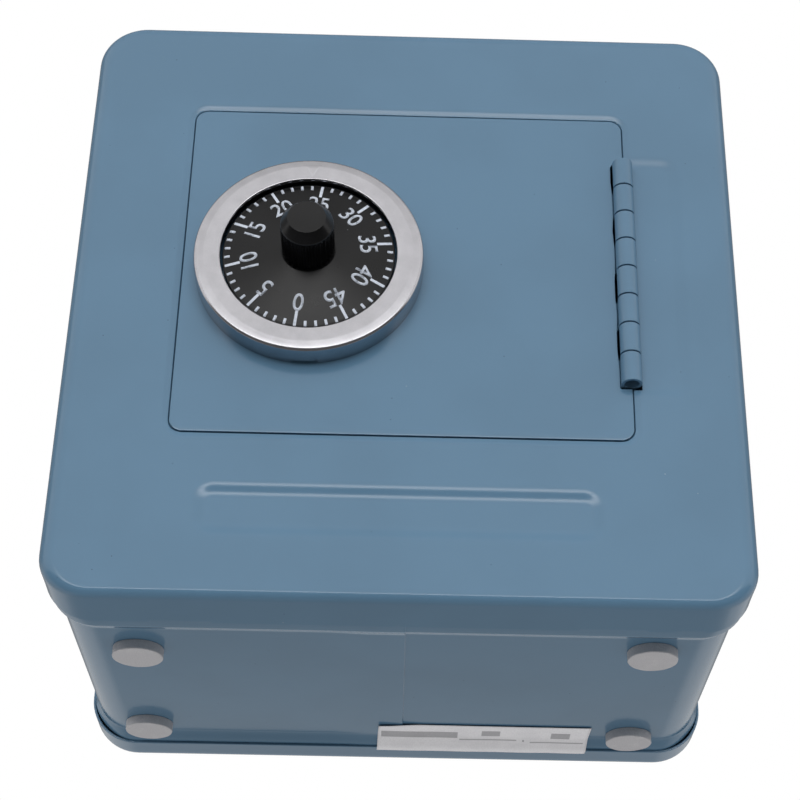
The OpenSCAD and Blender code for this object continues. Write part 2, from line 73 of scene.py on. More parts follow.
class Socket:
    """A shader value or vector that takes part in Python expressions."""

    def __init__(self, shader: "Shader", socket: bpy.types.NodeSocket) -> None:
        """Wraps an output socket.

        Args:
            shader: The material's shader, which adds the nodes.
            socket: The output socket to wrap.
        """
        self.shader = shader
        self.socket = socket

    def _math(self, operation: str, *values: "Socket | float") -> "Socket":
        """Adds one Math node.

        Args:
            operation: The Math node's operation.
            *values: Its inputs, in order.

        Returns:
            The node's result.
        """
        return self.shader.node("ShaderNodeMath", {"operation": operation}, dict(enumerate(values)))

    def __add__(self, other: "Socket | float") -> "Socket":
        """Adds two values."""
        return self._math("ADD", self, other)

    def __sub__(self, other: "Socket | float") -> "Socket":
        """Takes other from this value."""
        return self._math("SUBTRACT", self, other)

    def __rsub__(self, other: float) -> "Socket":
        """Takes this value from a number."""
        return self._math("SUBTRACT", other, self)

    def __mul__(self, other: "Socket | float") -> "Socket":
        """Multiplies two values."""
        return self._math("MULTIPLY", self, other)

    def __truediv__(self, other: "Socket | float") -> "Socket":
        """Divides this value by other."""
        return self._math("DIVIDE", self, other)

    __radd__ = __add__
    __rmul__ = __mul__

    def absolute(self) -> "Socket":
        """The value without its sign."""
        return self._math("ABSOLUTE", self)

    def most(self, other: "Socket | float") -> "Socket":
        """The larger of two values."""
        return self._math("MAXIMUM", self, other)

    def power(self, exponent: float) -> "Socket":
        """The value raised to a power."""
        return self._math("POWER", self, exponent)

    def step(self, low: float, high: float) -> "Socket":
        """A smooth step from 0 at low to 1 at high.

        Args:
            low: Where the step starts.
            high: Where it ends; below low for a falling step.

        Returns:
            The step, from 0 to 1.
        """
        settings = {"interpolation_type": "SMOOTHSTEP"}
        if low < high:
            return self.shader.node(
                "ShaderNodeMapRange", settings, {"Value": self, "From Min": low, "From Max": high}
            )
        return 1 - self.step(high, low)


class Shader:
    """A node tree, drawn with Python expressions."""

    def __init__(self, tree: bpy.types.NodeTree) -> None:
        """Wraps a node tree.

        Args:
            tree: The material's or the world's node tree.
        """
        self.tree = tree

    def node(
        self, kind: str, settings: dict[str, object], inputs: dict[str | int, object], output: str | int = 0
    ) -> Socket:
        """Adds one node.

        Args:
            kind: The node's type.
            settings: Its attributes, set before its sockets.
            inputs: Values or links for its input sockets, by name or place.
            output: The output socket wanted, by name or place.

        Returns:
            That output socket.
        """
        node = self.tree.nodes.new(kind)
        for key, value in settings.items():
            setattr(node, key, value)
        for key, value in inputs.items():
            self.feed(node.inputs[key], value)
        return Socket(self, node.outputs[output])

    def feed(self, target: bpy.types.NodeSocket, value: object) -> None:
        """Links a socket to another, or sets its value.

        Args:
            target: The input socket.
            value: A wrapped socket, or the value itself.
        """
        if isinstance(value, Socket):
            self.tree.links.new(value.socket, target)
        else:
            target.default_value = value

    def set(self, **inputs: object) -> None:
        """Feeds the Principled shader's sockets, named with _ for a space."""
        principled = self.tree.nodes["Principled BSDF"]
        for key, value in inputs.items():
            self.feed(principled.inputs[key.replace("_", " ")], value)

    def place(self) -> Socket:
        """The point on the surface, in the part frame, in metres."""
        return self.node("ShaderNodeTexCoord", {}, {}, "Object")

    def axes(self, point: Socket) -> tuple[Socket, Socket, Socket]:
        """A point's three coordinates as values."""
        parts = self.node("ShaderNodeSeparateXYZ", {}, {"Vector": point}, "X")
        outputs = parts.socket.node.outputs
        return parts, Socket(self, outputs["Y"]), Socket(self, outputs["Z"])

    def scaled(self, point: Socket, scale: tuple[float, float, float]) -> Socket:
        """A point with each coordinate multiplied by its own number."""
        return self.node("ShaderNodeVectorMath", {"operation": "MULTIPLY"}, {0: point, 1: scale})

    def noise(self, point: Socket, size: float, detail: float = 2.0, roughness: float = 0.5) -> Socket:
        """Noise with features of a given size.

        Args:
            point: Where it is read.
            size: The features' size, in millimetres.
            detail: How many finer layers it has.
            roughness: How strong the finer layers are.

        Returns:
            A value around 0.5.
        """
        inputs = {"Vector": point, "Scale": 1 / (size * MM), "Detail": detail, "Roughness": roughness}
        return self.node("ShaderNodeTexNoise", {"noise_dimensions": "3D"}, inputs, "Fac")

    def specks(self, point: Socket, spacing: float, radius: float, share: float) -> Socket:
        """Scattered round specks.

        Args:
            point: Where they are read.
            spacing: The mean distance between cells, in millimetres.
            radius: A speck's radius, as a share of the spacing.
            share: The share of the cells that hold a speck.

        Returns:
            1 in a speck and 0 elsewhere.
        """
        inputs = {"Vector": point, "Scale": 1 / (spacing * MM)}
        distance = self.node("ShaderNodeTexVoronoi", {"feature": "F1"}, inputs, "Distance")
        colour = Socket(self, distance.socket.node.outputs["Color"])
        chance = self.axes(colour)[0]
        return distance.step(radius, radius * 0.6) * chance.step(share + 0.01, share)

    def blend(self, share: Socket | float, low: object, high: object) -> Socket:
        """Mixes two colours.

        Args:
            share: How much of the second shows.
            low: The first colour, a socket or four numbers.
            high: The second colour, a socket or four numbers.

        Returns:
            The mixed colour.
        """
        node = self.tree.nodes.new("ShaderNodeMix")
        node.data_type = "RGBA"
        self.feed(node.inputs["Factor"], share)
        self.feed(node.inputs[6], low)
        self.feed(node.inputs[7], high)
        return Socket(self, node.outputs[2])

    def bump(self, height: Socket, depth: float, strength: float = 1.0) -> Socket:
        """A normal from a height.

        Args:
            height: The height, from 0 to 1.
            depth: What a height of 1 stands for, in millimetres.
            strength: How much of it shows.

        Returns:
            The bumped normal.
        """
        inputs = {"Height": height, "Distance": depth * MM, "Strength": strength}
        return self.node("ShaderNodeBump", {}, inputs)


def rgb(red: float, green: float, blue: float) -> tuple[float, float, float, float]:
    """A display colour of 0 to 255 as the scene-linear colour that shows it."""
    parts = [c / 255 for c in (red, green, blue)]
    linear = [c / 12.92 if c <= 0.04045 else ((c + 0.055) / 1.055) ** 2.4 for c in parts]
    return (*linear, 1.0)


# ---------------------------------------------------------------- finishes


@dataclass(frozen=True)
class Finish:
    """A surface finish. Each kind draws its own nodes and keeps one material."""

    name: str

    def material(self) -> bpy.types.Material:
        """The finish's material, made on first use."""
        found = bpy.data.materials.get(self.name)
        if found:
            return found
        material = bpy.data.materials.new(self.name)
        material.use_nodes = True
        self.draw(Shader(material.node_tree))
        return material

    def draw(self, shader: Shader) -> None:
        """Draws the finish's nodes.

        Args:
            shader: The material's shader.
        """
        raise NotImplementedError


@dataclass(frozen=True)
class Paint(Finish):
    """Sprayed semi-gloss enamel: orange peel, faint clouding, dust nibs and pin-holes."""

    colour: tuple[float, float, float, float] = rgb(89, 123, 149)
    gloss: float = 0.13

    def draw(self, shader: Shader) -> None:
        """Draws the enamel.

        Args:
            shader: The material's shader.
        """
        point = shader.place()
        cloud = shader.noise(point, 26, 3)
        deep = tuple(c * 0.97 for c in self.colour[:3]) + (1.0,)
        pale = tuple(c * 1.03 for c in self.colour[:3]) + (1.0,)
        colour = shader.blend(cloud.step(0.35, 0.65), deep, pale)
        pits = shader.specks(point, 3.0, 0.045, 0.3)
        nibs = shader.specks(shader.scaled(point, (1.0, 1.3, 0.9)), 5.2, 0.026, 0.2)
        colour = shader.blend(pits * 0.6, colour, rgb(24, 48, 70))
        colour = shader.blend(nibs * 0.5, colour, rgb(180, 192, 202))
        peel = shader.noise(point, 1.5, 2.0, 0.45)
        fine = shader.noise(point, 0.28, 1.0)
        height = peel * 0.8 + fine * 0.12 + nibs * 0.6 - pits * 0.5
        rough = self.gloss + (shader.noise(point, 9, 3) - 0.5) * 0.05 + fine * 0.02
        shader.set(Base_Color=colour, Roughness=rough, Normal=shader.bump(height, 0.008))
        shader.set(IOR=1.5)


@dataclass(frozen=True)
class SatinSteel(Finish):
    """Bead-blasted stainless sheet whose rolled edge is polished."""

    centre: tuple[float, float] = (0.0, 0.0)
    edge_radius: float = 20.6
    lip_radius: float = 17.1

    def draw(self, shader: Shader) -> None:
        """Draws the satin face and the polished edges.

        Args:
            shader: The material's shader.
        """
        point = shader.place()
        x, _, z = shader.axes(point)
        dx = x - self.centre[0]
        dz = z - self.centre[1]
        radius = (dx * dx + dz * dz).power(0.5) / MM
        polished = radius.step(self.edge_radius - 0.5, self.edge_radius + 0.8)
        polished = polished.most(radius.step(self.lip_radius + 0.1, self.lip_radius - 0.1))
        grain = shader.noise(point, 0.16, 2.0, 0.7)
        blotch = shader.noise(point, 3.2, 4.0, 0.6)
        smear = shader.noise(shader.scaled(point, (1.0, 1.0, 0.35)), 7.5, 2.0)
        rough = 0.44 + (grain - 0.5) * 0.16 + (smear - 0.5) * 0.16
        rough = rough * (1 - polished) + polished * (0.17 + (blotch - 0.5) * 0.12)
        shade = (blotch - 0.5) * 0.5 + (grain - 0.5) * 0.35 + 0.5
        colour = shader.blend(shade.step(0.2, 0.8), rgb(172, 171, 175), rgb(194, 193, 197))
        height = grain * (1 - polished) + blotch * 0.2
        shader.set(Base_Color=colour, Metallic=1.0, Roughness=rough, Normal=shader.bump(height, 0.006))


@dataclass(frozen=True)
class PlainMetal(Finish):
    """Plated or bare metal with fine grain, handling marks and dull patches."""

    colour: tuple[float, float, float, float] = rgb(196, 197, 199)
    roughness: float = 0.32
    grain_scale: tuple[float, float, float] = (1.0, 1.0, 1.0)
    dull: tuple[float, float, float, float] = rgb(150, 148, 140)

    def draw(self, shader: Shader) -> None:
        """Draws the metal.

        Args:
            shader: The material's shader.
        """
        point = shader.place()
        grain = shader.noise(shader.scaled(point, self.grain_scale), 0.35, 3.0, 0.6)
        patch = shader.noise(point, 4.5, 4.0, 0.6)
        colour = shader.blend(patch.step(0.45, 0.75) * 0.55, self.colour, self.dull)
        rough = self.roughness + (grain - 0.5) * 0.14 + (patch - 0.5) * 0.2
        shader.set(Base_Color=colour, Metallic=1.0, Roughness=rough)
        shader.set(Normal=shader.bump(grain * 0.7 + patch * 0.3, 0.008))


@dataclass(frozen=True)
class BlackPlastic(Finish):
    """Moulded black plastic with a faint spark texture and dust."""

    colour: tuple[float, float, float, float] = rgb(12, 12, 13)
    roughness: float = 0.36
    dust: float = 0.5
    ior: float = 1.4

    def draw(self, shader: Shader) -> None:
        """Draws the plastic.

        Args:
            shader: The material's shader.
        """
        point = shader.place()
        spark = shader.noise(point, 0.3, 2.0)
        wear = shader.noise(point, 5.0, 3.0)
        lint = shader.specks(point, 1.9, 0.05, 0.06)
        colour = shader.blend(wear.step(0.3, 0.8) * 0.5, self.colour, rgb(22, 22, 24))
        colour = shader.blend(lint * self.dust, colour, rgb(170, 170, 175))
        rough = self.roughness + (wear - 0.5) * 0.14 + (spark - 0.5) * 0.08
        shader.set(Base_Color=colour, Roughness=rough, Normal=shader.bump(spark + lint, 0.004))
        shader.set(IOR=self.ior)


@dataclass(frozen=True)
class PrintInk(Finish):
    """Pad-printed white ink, a little uneven."""

    colour: tuple[float, float, float, float] = rgb(205, 212, 224)

    def draw(self, shader: Shader) -> None:
        """Draws the ink.

        Args:
            shader: The material's shader.
        """
        point = shader.place()
        thin = shader.noise(point, 0.5, 3.0)
        colour = shader.blend(thin.step(0.25, 0.5), rgb(176, 184, 198), self.colour)
        shader.set(Base_Color=colour, Roughness=0.5 + thin * 0.1, Normal=shader.bump(thin, 0.004))


@dataclass(frozen=True)
class Foam(Finish):
    """Closed-cell grey foam: fine cells, pores darkened with painted shade, and lighter patches that paint
    the sheen of its skin.
    """

    colour: tuple[float, float, float, float] = rgb(206, 205, 208)

    def draw(self, shader: Shader) -> None:
        """Draws the foam.

        Args:
            shader: The material's shader.
        """
        point = shader.place()
        cells = shader.noise(point, 0.22, 2.0, 0.7)
        inputs = {"Vector": point, "Scale": 1 / (0.3 * MM)}
        pores = shader.node("ShaderNodeTexVoronoi", {"feature": "F1"}, inputs, "Distance")
        patch = shader.noise(point, 2.4, 3.0)
        # painted shade: the pores are darkened in colour as if shade fell in their hollows
        dark = pores.step(0.34, 0.1) * cells.step(0.5, 0.7)
        colour = shader.blend(cells.step(0.3, 0.7), rgb(190, 189, 192), self.colour)
        colour = shader.blend(dark * 0.6, colour, rgb(120, 119, 122))
        # painted sheen: lighter patches stand in for light caught by the foam's skin
        colour = shader.blend(patch.step(0.5, 0.8) * 0.3, colour, rgb(222, 221, 222))
        height = pores * 0.6 + cells * 0.4
        shader.set(Base_Color=colour, Roughness=0.85 + cells * 0.1, Normal=shader.bump(height, 0.05))


@dataclass(frozen=True)
class Bar:
    """A ruled or printed bar on the label, from the label's own left and front edges."""

    left: float
    right: float
    front: float
    height: float


@dataclass(frozen=True)
class LabelPaper(Finish):
    """Uncoated white paper with fibres, printed with plain grey bars."""

    left: float = 0.0
    front: float = 0.0
    bars: tuple[Bar, ...] = ()

    def draw(self, shader: Shader) -> None:
        """Draws the paper and its bars.

        Args:
            shader: The material's shader.
        """
        point = shader.place()
        x, y, _ = shader.axes(point)
        across = x / MM - self.left
        along = y / MM - self.front
        soft = 0.06
        ink: Socket | None = None
        for bar in self.bars:
            half_l = (bar.right - bar.left) / 2
            beside = (across - (bar.left + half_l)).absolute().step(half_l + soft, half_l - soft)
            over = (along - bar.front).absolute().step(bar.height / 2 + soft, bar.height / 2 - soft)
            mask = beside * over
            ink = mask if ink is None else ink.most(mask)
        fibre = shader.noise(shader.scaled(point, (1.0, 0.5, 1.0)), 0.3, 3.0, 0.6)
        blotch = shader.noise(point, 5.0, 2.0)
        colour = shader.blend(fibre.step(0.3, 0.7), rgb(243, 242, 245), rgb(252, 251, 254))
        colour = shader.blend(blotch.step(0.4, 0.7) * 0.25, colour, rgb(222, 221, 226))
        if ink is not None:
            colour = shader.blend(ink * (0.4 + fibre * 0.3), colour, rgb(96, 96, 102))
        shader.set(Base_Color=colour, Roughness=0.8, Normal=shader.bump(fibre, 0.012))


@dataclass(frozen=True)
class FloorFinish(Finish):
    """Pale matt floor that is seen from above only."""

    def draw(self, shader: Shader) -> None:
        """Draws the floor.

        Args:
            shader: The material's shader.
        """
        point = shader.place()
        mottle = shader.noise(point, 40, 3.0)
        colour = shader.blend(mottle, (0.86, 0.86, 0.86, 1), (0.9, 0.9, 0.9, 1))
        shader.set(Base_Color=colour, Roughness=0.9)
        behind = shader.node("ShaderNodeNewGeometry", {}, {}, "Backfacing")
        clear = shader.node("ShaderNodeBsdfTransparent", {}, {})
        top = Socket(shader, shader.tree.nodes["Principled BSDF"].outputs[0])
        mixed = shader.node("ShaderNodeMixShader", {}, {0: behind, 1: top, 2: clear})
        shader.feed(shader.tree.nodes["Material Output"].inputs["Surface"], mixed)


class Slot(Enum):
    """The record's material slots."""

    CASE = "case_paint"
    RING = "ring_steel"
    BRIGHT = "bright_steel"
    ZINC = "zinc_steel"
    BRASS = "brass"
    DIAL = "dial_plastic"
    KNOB = "knob_plastic"
    FOAM = "foam"
    PAPER = "label_paper"


class Body(Enum):
    """The frame's moving bodies."""

    CASE = "case"
    DOOR = "door"
    DIAL = "dial"
    WHEEL = "wheel"


# ---------------------------------------------------------------- curves and outlines


def smooth(t: np.ndarray) -> np.ndarray:
    """A smooth step of numbers held between 0 and 1."""
    t = np.clip(t, 0, 1)
    return t * t * (3 - 2 * t)


def spread(low: float, high: float, pitch: float) -> list[float]:
    """Evenly spaced numbers from low to high, no further apart than the pitch."""
    return list(np.linspace(low, high, max(2, math.ceil((high - low) / pitch) + 1)))


def lines(
    low: float, high: float, pitch: float, dense: Sequence[tuple[float, float, float]]
) -> np.ndarray:
    """Grid lines that stand closer together in some ranges.

    Args:
        low: The first line.
        high: The last line.
        pitch: The spacing outside the dense ranges.
        dense: Each dense range's low, high and pitch.

    Returns:
        The sorted lines.
    """
    stops = sorted({low, high, *[v for a, b, _ in dense for v in (a, b) if low < v < high]})
    values = []
    for a, b in zip(stops, stops[1:]):
        middle = (a + b) / 2
        pitches = [p for d0, d1, p in dense if d0 <= middle <= d1]
        values += spread(a, b, min(pitches, default=pitch))
    values = np.array(sorted(values))
    return values[np.concatenate([[True], np.diff(values) > 1e-6])]


def fillet(
    corners: Sequence[tuple[float, float, float]], steps: int = 6, closed: bool = False
) -> np.ndarray:
    """Rounds the corners of a polyline.

    Args:
        corners: Each corner's two coordinates and its radius.
        steps: Segments in each arc.
        closed: Whether the last corner joins the first.

    Returns:
        The rounded polyline's points.
    """
    points = [np.array(c[:2], float) for c in corners]
    made: list[np.ndarray] = []
    count = len(points)
    for i, (point, corner) in enumerate(zip(points, corners)):
        ends = not closed and i in (0, count - 1)
        if ends or corner[2] <= 0:
            made.append(point)
            continue
        before, after = points[i - 1] - point, points[(i + 1) % count] - point
        before, after = before / np.linalg.norm(before), after / np.linalg.norm(after)
        half = math.acos(float(np.clip(before @ after, -1, 1))) / 2
        reach = corner[2] / math.tan(half)
        centre = point + (before + after) / np.linalg.norm(before + after) * corner[2] / math.sin(half)
        start, end = point + before * reach - centre, point + after * reach - centre
        sweep = math.pi - 2 * half
        for k in range(steps + 1):
            t = k / steps
            weight = (math.sin((1 - t) * sweep), math.sin(t * sweep))
            made.append(centre + (start * weight[0] + end * weight[1]) / math.sin(sweep))
    return np.array(made)


@dataclass(frozen=True)
class RoundRect:
    """An upright rectangle with round corners, in x and z."""

    x: float
    z: float
    width: float
    height: float
    radius: float

    def distance(self, x: np.ndarray, z: np.ndarray) -> np.ndarray:
        """How far points lie outside the outline; below zero inside."""
        across = np.abs(x - self.x) - (self.width / 2 - self.radius)
        up = np.abs(z - self.z) - (self.height / 2 - self.radius)
        outside = np.hypot(np.maximum(across, 0), np.maximum(up, 0))
        return outside + np.minimum(np.maximum(across, up), 0) - self.radius

    def bands(self, inward: float, outward: float, pitch: float) -> tuple[list, list]:
        """Dense ranges of grid lines along the outline's sides.

        Args:
            inward: How far they reach inside the outline.
            outward: How far they reach outside it.
            pitch: Their spacing.

        Returns:
            The ranges in x, and the ranges in z.
        """
        ranges = []
        for middle, half in ((self.x, self.width / 2), (self.z, self.height / 2)):
            low, high = middle - half, middle + half
            ranges.append([(low - outward, low + inward, pitch), (high - inward, high + outward, pitch)])
        return ranges[0], ranges[1]


@dataclass(frozen=True)
class Dish:
    """A pressed hollow with a flat floor, a sloping edge and, where given, a soft shoulder."""

    floor: RoundRect
    depth: float
    slope: float
    shoulder_w: float = 0.0
    shoulder_d: float = 0.0

    def depth_at(self, x: np.ndarray, z: np.ndarray) -> np.ndarray:
        """The hollow's depth at points of the face."""
        soft = 0.15 * self.slope
        away = self.floor.distance(x, z)
        depth = self.depth * (1 - smooth((away + soft) / (self.slope + 2 * soft)))
        if self.shoulder_w:
            eased = np.clip(1 - (away - self.slope) / self.shoulder_w, 0, 1)
            depth = np.maximum(depth, self.shoulder_d * eased**1.25)
        return depth

    @property
    def reach(self) -> float:
        """How far the edge reaches outside the floor."""
        return self.slope * 1.2 + 0.15 + self.shoulder_w


# ---------------------------------------------------------------- meshes


@dataclass
class Draft:
    """Points in the case frame, in millimetres, and the faces that join them."""

    points: list[np.ndarray] = field(default_factory=list)
    faces: list[tuple[int, ...]] = field(default_factory=list)
    count: int = 0

    def add(self, points: np.ndarray, faces: Sequence[tuple[int, ...]]) -> None:
        """Adds points and the faces between them.

        Args:
            points: The new points, one row each.
            faces: Faces, as places in the new points.
        """
        start = self.count
        self.points.append(np.asarray(points, float).reshape(-1, 3))
        self.count += len(self.points[-1])
        self.faces += [tuple(start + i for i in face) for face in faces]

    def add_grid(self, grid: np.ndarray, around: bool = False, keep: np.ndarray | None = None) -> None:
        """Adds a grid of points with a face in each cell.

        Args:
            grid: The points, rows by columns by three.
            around: Whether the last column joins the first.
            keep: Which cells have a face; all of them when it isn't given.
        """
        rows, columns = grid.shape[:2]
        last = columns if around else columns - 1
        faces = []
        for i in range(rows - 1):
            for j in range(last):
                if keep is None or keep[i, j]:
                    k = (j + 1) % columns
                    a, b = i * columns, (i + 1) * columns
                    faces.append((a + j, a + k, b + k, b + j))
        self.add(grid.reshape(-1, 3), faces)

    def add_prism(
        self, outline: np.ndarray, order: tuple[int, int, int], low: float, high: float
    ) -> None:
        """Adds a closed prism.

        Args:
            outline: Its outline's points.
            order: Which of the outline's two coordinates and the height gives x, y and z.
            low: The height of its first end.
            high: The height of its second end.
        """
        ends = []
        for height in (low, high):
            flat = np.column_stack([outline, np.full(len(outline), height)])
            ends.append(flat[:, list(order)])
        self.add_grid(np.array(ends), around=True)
        face = tuple(range(len(outline)))
        self.add(ends[0], [face])
        self.add(ends[1], [face[::-1]])


@dataclass(frozen=True)
class Layout:
    """Places the case frame in the part frame, and holds the sizes that pieces share."""

    half_w: float
    half_h: float
    case_d: float
    front_d: float
    back_d: float
    face_y: float
    mid_z: float
    corner_r: float = 9.5
    bend_r: float = 3.2
    foot_bend_r: float = 1.5
    foot_lean: float = 1.3
    cover_t: float = 0.5
    shell_t: float = 0.45
    body_inset: float = 1.66
    bell_show: float = 3.2
    flare_l: float = 3.8
    door_corner_r: float = 2.5
    knuckle_gap: float = 0.3

    @classmethod
    def from_frame(cls) -> "Layout":
        """Reads the covers' boxes from the frame.

        Returns:
            The layout.
        """
        low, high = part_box("front_cover")
        back_low, back_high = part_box("back_cover")
        return cls(
            half_w=(high.x - low.x) / 2 / MM,
            half_h=(high.z - low.z) / 2 / MM,
            case_d=(back_high.y - low.y) / MM,
            front_d=(high.y - low.y) / MM,
            back_d=(back_high.y - back_low.y) / MM,
            face_y=low.y,
            mid_z=(low.z + high.z) / 2,
        )

    @property
    def centre_x(self) -> float:
        """Half the distance between the corners' centres, across."""
        return self.half_w - self.corner_r

    @property
    def centre_z(self) -> float:
        """Half the distance between the corners' centres, upwards."""
        return self.half_h - self.corner_r

    @property
    def wall_z(self) -> float:
        """How far the body's walls lie from the middle."""
        return self.half_h - self.body_inset

    def placed(self, points: np.ndarray) -> np.ndarray:
        """Points of the case frame in the part frame, in metres."""
        return points * MM + np.array([0.0, self.face_y, self.mid_z])

    def box(self, node: str) -> tuple[np.ndarray, np.ndarray]:
        """A node's lowest and highest corner in the case frame, in millimetres."""
        low, high = (np.array(corner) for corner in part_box(node))
        start = np.array([0.0, self.face_y, self.mid_z])
        return (low - start) / MM, (high - start) / MM

    def barrel(self, leaf: str) -> tuple[float, float]:
        """The hinge barrel's x, and the height that a leaf's knuckles take with their end gaps."""
        pin_low, pin_high = self.box("hinge_pin")
        low, high = self.box(leaf)
        return (pin_low[0] + pin_high[0]) / 2, high[2] - low[2] + self.knuckle_gap


@dataclass
class Workshop:
    """Turns drafts into finished pieces that ride on the frame's bodies."""

    layout: Layout
    made: list[bpy.types.Object] = field(default_factory=list)

    def piece(
        self,
        name: str,
        draft: Draft,
        finish: Finish,
        body: Body,
        slot: Slot,
        replaces: Sequence[str] = (),
        thickness: float = 0.0,
        inside: tuple[float, float, float] | None = None,
        edge: float = 0.0,
        crease: float = 50.0,
    ) -> bpy.types.Object:
        """Makes one piece from a draft.

        Args:
            name: The piece's name.
            draft: Its points and faces.
            finish: Its finish.
            body: The body that it rides on.
            slot: The record's material slot; not used.
            replaces: The CAD nodes that it stands for.
            thickness: Thickness given to an open sheet, inwards, in millimetres.
            inside: A point on the sheet's inner side, which settles what inwards means.
            edge: The width of the bevel on its sharp edges, in millimetres.
            crease: The angle above which an edge stays sharp, in degrees.

        Returns:
            The piece.
        """
        mesh = self.mesh(name, draft, inside)
        piece = bpy.data.objects.new(name, mesh)
        bpy.context.scene.collection.objects.link(piece)
        if thickness:
            solid = piece.modifiers.new("thickness", "SOLIDIFY")
            solid.thickness = thickness * MM
            solid.offset = -1
            solid.use_even_offset = True
        self.round_edges(piece, edge, crease)
        mesh.materials.append(finish.material())
        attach(piece, body.value)
        if replaces:
            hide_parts(*replaces)
        self.made.append(piece)
        LOG.info("%s: %d faces on %s", name, len(mesh.polygons), body.value)
        return piece

    def mesh(self, name: str, draft: Draft, inside: tuple[float, float, float] | None) -> bpy.types.Mesh:
        """Welds a draft into a smooth-shaded mesh whose faces look outwards.

        Args:
            name: The mesh's name.
            draft: Its points and faces.
            inside: A point on the inner side of an open sheet.

        Returns:
            The mesh.
        """
        points = np.concatenate(draft.points)
        mesh = bpy.data.meshes.new(name)
        mesh.from_pydata(self.layout.placed(points).tolist(), [], draft.faces)
        work = bmesh.new()
        work.from_mesh(mesh)
        bmesh.ops.remove_doubles(work, verts=work.verts, dist=2e-6)
        bmesh.ops.recalc_face_normals(work, faces=work.faces)
        if inside is not None:
            middle = Vector(self.layout.placed(np.array(inside)))
            facing = sum(f.normal.dot(f.calc_center_median() - middle) * f.calc_area() for f in work.faces)
            if facing < 0:
                bmesh.ops.reverse_faces(work, faces=work.faces)
        loose = [v for v in work.verts if not v.link_faces]
        bmesh.ops.delete(work, geom=loose, context="VERTS")
        for face in work.faces:
            face.smooth = True
        work.to_mesh(mesh)
        work.free()
        return mesh

    def round_edges(self, piece: bpy.types.Object, edge: float, crease: float) -> None:
        """Bevels a piece's sharp edges and keeps its flat faces flat.

        Args:
            piece: The piece or CAD node.
            edge: The bevel's width, in millimetres; none at 0.
            crease: The angle above which an edge is sharp, in degrees.
        """
        if edge:
            bevel = piece.modifiers.new("edges", "BEVEL")
            bevel.width = edge * MM
            bevel.segments = 3
            bevel.limit_method = "ANGLE"
            bevel.angle_limit = math.radians(crease)
            bevel.use_clamp_overlap = True
        normals = piece.modifiers.new("normals", "WEIGHTED_NORMAL")
        normals.keep_sharp = True

    def node(self, name: str, finish: Finish, edge: float = 0.1, crease: float = 35.0) -> None:
        """Dresses a CAD node that keeps its shape.

        Args:
            name: The node's name.
            finish: Its finish.
            edge: The width of the bevel on its sharp edges, in millimetres.
            crease: The angle above which an edge is sharp, in degrees.
        """
        cad = bpy.data.objects[name]
        weld = cad.modifiers.new("weld", "WELD")
        weld.merge_threshold = 2e-6
        self.round_edges(cad, edge, crease)
        cad.data.materials.clear()
        cad.data.materials.append(finish.material())
        LOG.info("%s: dressed as %s", name, finish.name)


def cut_grid(
    us: np.ndarray, vs: np.ndarray, distance: Distance
) -> tuple[np.ndarray, np.ndarray, np.ndarray]:
    """A grid cut to an outline, whose rim points are moved onto it.

    Args:
        us: The grid's lines in the first direction.
        vs: The grid's lines in the second direction.
        distance: How far points lie outside the outline.

    Returns:
        The grid's two coordinates, and which cells lie inside.
    """
    u, v = np.meshgrid(us, vs, indexing="ij")
    mid_u, mid_v = (us[1:] + us[:-1]) / 2, (vs[1:] + vs[:-1]) / 2
    keep = distance(*np.meshgrid(mid_u, mid_v, indexing="ij")) < 0
    used = np.zeros((*u.shape, 2), bool)
    for du in (0, 1):
        for dv in (0, 1):
            part = used[du : du + keep.shape[0], dv : dv + keep.shape[1]]
            part[..., 0] |= keep
            part[..., 1] |= ~keep
    rim = used[..., 0] & used[..., 1]
    h = 1e-3
    for _ in range(3):
        ru, rv = u[rim], v[rim]
        away = distance(ru, rv)
        gu = (distance(ru + h, rv) - distance(ru - h, rv)) / (2 * h)
        gv = (distance(ru, rv + h) - distance(ru, rv - h)) / (2 * h)
        size = np.maximum(gu**2 + gv**2, 0.25)
        u[rim], v[rim] = ru - away * gu / size, rv - away * gv / size
    return u, v, keep


@dataclass(frozen=True)
class Loop:
    """Points round the rectangle of the corners' centres, with their outward directions."""

    bases: np.ndarray
    outs: np.ndarray

    @classmethod
    def around(cls, xs: np.ndarray, zs: np.ndarray, steps: int = 14) -> "Loop":
        """Walks round the rectangle.

        Args:
            xs: Grid lines along the bottom and the top.
            zs: Grid lines along the sides.
            steps: Segments round each corner.

        Returns:
            The loop, from the lower left corner along the bottom.
        """
        low_x, high_x, low_z, high_z = xs[0], xs[-1], zs[0], zs[-1]
        sides = [
            ([(x, low_z) for x in xs], -90),
            ([(high_x, z) for z in zs], 0),
            ([(x, high_z) for x in xs[::-1]], 90),
            ([(low_x, z) for z in zs[::-1]], 180),
        ]
        bases, angles = [], []
        for run, angle in sides:
            bases += run
            angles += [angle] * len(run)
            bases += [run[-1]] * (steps - 1)
            angles += [angle + 90 * k / steps for k in range(1, steps)]
        turn = np.radians(angles)
        return cls(np.array(bases), np.stack([np.cos(turn), np.sin(turn)], 1))

    def sweep(self, profile: np.ndarray, foot: np.ndarray) -> np.ndarray:
        """Sweeps a profile round the loop.

        Args:
            profile: Its points: the distance out from the bases, and the depth.
            foot: The points that they turn into along the bottom.

        Returns:
            A grid of points, one row for each profile point.
        """
        share = np.clip(-self.outs[:, 1], 0, 1) ** 2
        mixed = profile[:, None] + (foot - profile)[:, None] * share[None, :, None]
        flat = self.bases[None] + self.outs[None] * mixed[..., :1]
        return np.stack([flat[..., 0], mixed[..., 1], flat[..., 1]], 2)


# ---------------------------------------------------------------- the case


